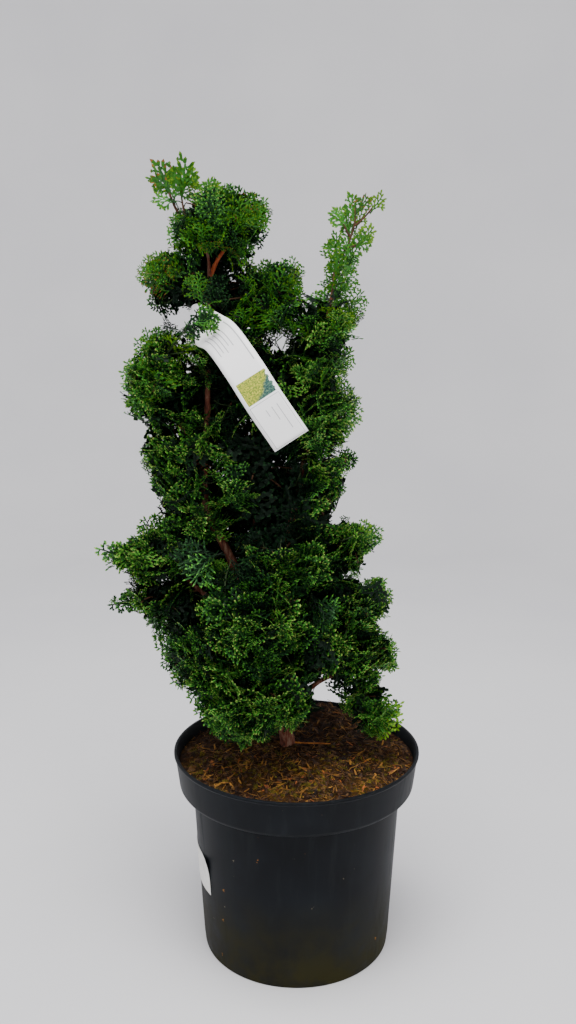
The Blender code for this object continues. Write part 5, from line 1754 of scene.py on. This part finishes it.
# %% Twigs of one mass
MAIN_TWIG_RADIUS, MAIN_TWIG_TIP = 0.0014, 0.0007
FAN_TWIG_RADIUS, FAN_TWIG_TIP = 0.0006, 0.0005
FEWEST_TWIGS, TWIGS_PER_AREA = 4, 420
TWIG_CLEARANCE = 1.7
TWIG_BOW = 0.0015
LONG_TWIG = 0.012


def main_twigs(mass, chance):
    """The mass's stem and its main twigs as lists of points."""
    if mass.name in shoots:
        return shoots[mass.name]
    limb = limbs[mass.carrier[0]]
    foot, along = limb.at(mass.carrier[1])
    top = mass.centre + (mass.centre - foot) * 0.25
    bend = (foot + mass.centre) / 2 + along * 0.15 * (mass.centre - foot).length
    stem = smooth_path([foot, bend, mass.centre, top], 3)
    found = [stem]
    count = FEWEST_TWIGS if mass.is_thin else max(FEWEST_TWIGS, round(10 + TWIGS_PER_AREA * mass.skin()))
    for i in range(count):
        height = 1 - 1.75 * (i + 0.5) / count
        ring = math.sqrt(1 - height * height)
        way = Vector((ring * math.cos(i * GOLDEN_ANGLE), ring * math.sin(i * GOLDEN_ANGLE), height))
        stop = mass.centre + (mass.surface(way) - mass.centre) * chance.uniform(0.50, 0.80)
        start = stem[4 + i % (len(stem) - 4)]
        near_hollow = line_reach(np.array([stop, start]), hollow_lines).min() < TWIG_CLEARANCE
        if near_hollow or not clear_of_gaps(np.array([start.lerp(stop, share) for share in (0.4, 0.7, 1)])):
            continue
        middle = start.lerp(stop, 0.5) + (along + UP * 0.5) * 0.10 * (stop - start).length
        found.append(smooth_path([start, middle, stop], 3))
    return found


def fan_twigs(mains, rows):
    """One twig for each fan, from the nearest main twig to the fan's root."""
    joints = [(b, (b - a).normalized()) for path in mains for a, b in zip(path, path[1:])]
    places = np.array([tuple(point) for point, ahead in joints])
    found = []
    for root, turn, length, kind, tone in rows:
        heading = turn.col[0]
        apart = np.linalg.norm(places - np.array(root), axis=1)
        ahead_of = (np.array(root) - places) @ np.array(heading)
        point, ahead = joints[int(np.argmin(apart + 0.6 * np.maximum(0, apart - ahead_of)))]
        inside = root + heading * length * 0.12
        bend = point.lerp(inside, 0.5) + (ahead - heading) * min(0.12 * (inside - point).length, TWIG_BOW)
        is_long = (inside - point).length > LONG_TWIG
        if not is_long or clear_of_gaps(np.array([bend, point.lerp(inside, 0.75)])):
            found.append(smooth_path([point, bend, inside], 2))
    return found


# %% Grow every mass
young_twig = new_material("green_shoot", "23380F", 0.6, 1.45)[0]
brown_twig = bark_material("brown_twig_bark", "22120A", "47290F", "5E4128", "553A22")
total = 0
for mass in masses:
    chance = random.Random(f"{SEED} {mass.name}")
    rows = grow_leaders(mass) + grow_fans(mass, chance)
    cloud = mesh_object(f"{mass.name}_leaves", [row[0] for row in rows])
    set_attribute(cloud, "turn", "FLOAT_VECTOR", [tuple(row[1].to_euler()) for row in rows])
    set_attribute(cloud, "size", "FLOAT", [row[2] for row in rows])
    set_attribute(cloud, "kind", "INT", [row[3] for row in rows])
    for i, zone in enumerate(("twig", "leaflet", "end")):
        set_attribute(cloud, zone, "INT", [TONES[row[4]][i] for row in rows])
    run_tree(cloud, fan_tree, fans=fan_store)
    hand_over(cloud, "foliage", mass.name)
    total += len(cloud.data.polygons)
    mains = main_twigs(mass, chance)
    feet = [MAIN_TWIG_RADIUS * share for share in (1.15, *[0.8] * (len(mains) - 1))]
    thick = [(path, np.linspace(foot, MAIN_TWIG_TIP, len(path))) for foot, path in zip(feet, mains)]
    hand_over(tubes(f"{mass.name}_twigs", thick, brown_twig, 6), "bark")
    thin = [(path, np.linspace(FAN_TWIG_RADIUS, FAN_TWIG_TIP, len(path))) for path in fan_twigs(mains, rows)]
    hand_over(tubes(f"{mass.name}_shoots", thin, young_twig, 4), "foliage")
print("leaf triangles:", total)

# %% [markdown]
# ## Stage and light
# The plant stands in a pale photo booth with soft light from above. The floor is a wide round sheet that
# curves up into a wall on every side, so it looks the same from any angle. A large lamp hangs above
# the front, two weaker ones fill the sides, and a pale sky does the rest.

# %% Stage
FLOOR_RADIUS, WALL_RADIUS, STAGE_HEIGHT = 1.7, 2.9, 2.6
BEND_POINTS, STAGE_STEPS = 25, 96


def booth_paper():
    """Matt painted wall, very faintly uneven."""
    material, tree, shader = new_material("matt_booth_wall", "DEDDDE", 0.9, 1.45)
    place = add_node(tree, "ShaderNodeTexCoord").outputs["Object"]
    uneven = add_node(tree, "ShaderNodeTexNoise", blotches(place, 700, 3))
    uneven = add_node(tree, "ShaderNodeMapRange", span(uneven, 0.35, 0.7))
    colour = add_node(tree, "ShaderNodeMix", {0: uneven, 6: "DBDADC", 7: "E4E3E3"}, data_type="RGBA")
    set_inputs(tree, shader, {"Base Color": colour})
    return material


bend = WALL_RADIUS - FLOOR_RADIUS
floor_profile = [Vector((0, 0)), Vector((FLOOR_RADIUS * 0.5, 0))]
for angle in np.linspace(0, math.pi / 2, BEND_POINTS):
    floor_profile.append(Vector((FLOOR_RADIUS + bend * math.sin(angle), bend - bend * math.cos(angle))))
floor_profile.append(Vector((WALL_RADIUS, STAGE_HEIGHT)))
floor = turned("booth_floor", floor_profile, [booth_paper()], STAGE_STEPS)
floor.data.flip_normals()

# %% Light
def soft_lamp(name, place, aim, size, power, colour):
    """A square area lamp that looks at a point."""
    data = bpy.data.lights.new(name, "AREA")
    data.shape = "SQUARE"
    data.size = size
    data.energy = power
    data.color = linear_colour(colour)[:3]
    lamp = bpy.data.objects.new(name, data)
    lamp.location = place
    lamp.rotation_euler = (Vector(aim) - Vector(place)).to_track_quat("-Z", "Y").to_euler()
    bpy.context.scene.collection.objects.link(lamp)
    return lamp


soft_lamp("lamp_above", (-0.1, -0.6, 2.5), (0, 0, 0.4), 1.5, 78, "FFFFFF")
soft_lamp("lamp_left", (-2.0, -1.2, 1.2), (0, 0, 0.4), 1.2, 7, "F4F6FF")
soft_lamp("lamp_right", (1.9, -1.4, 1.0), (0, 0, 0.4), 1.2, 11, "FFFFFF")
world = bpy.data.worlds.new("pale_sky")
world.use_nodes = True
set_inputs(world.node_tree, world.node_tree.nodes["Background"], {"Color": "E9EAF0", "Strength": 0.76})
bpy.context.scene.world = world
print("stage and light in place")
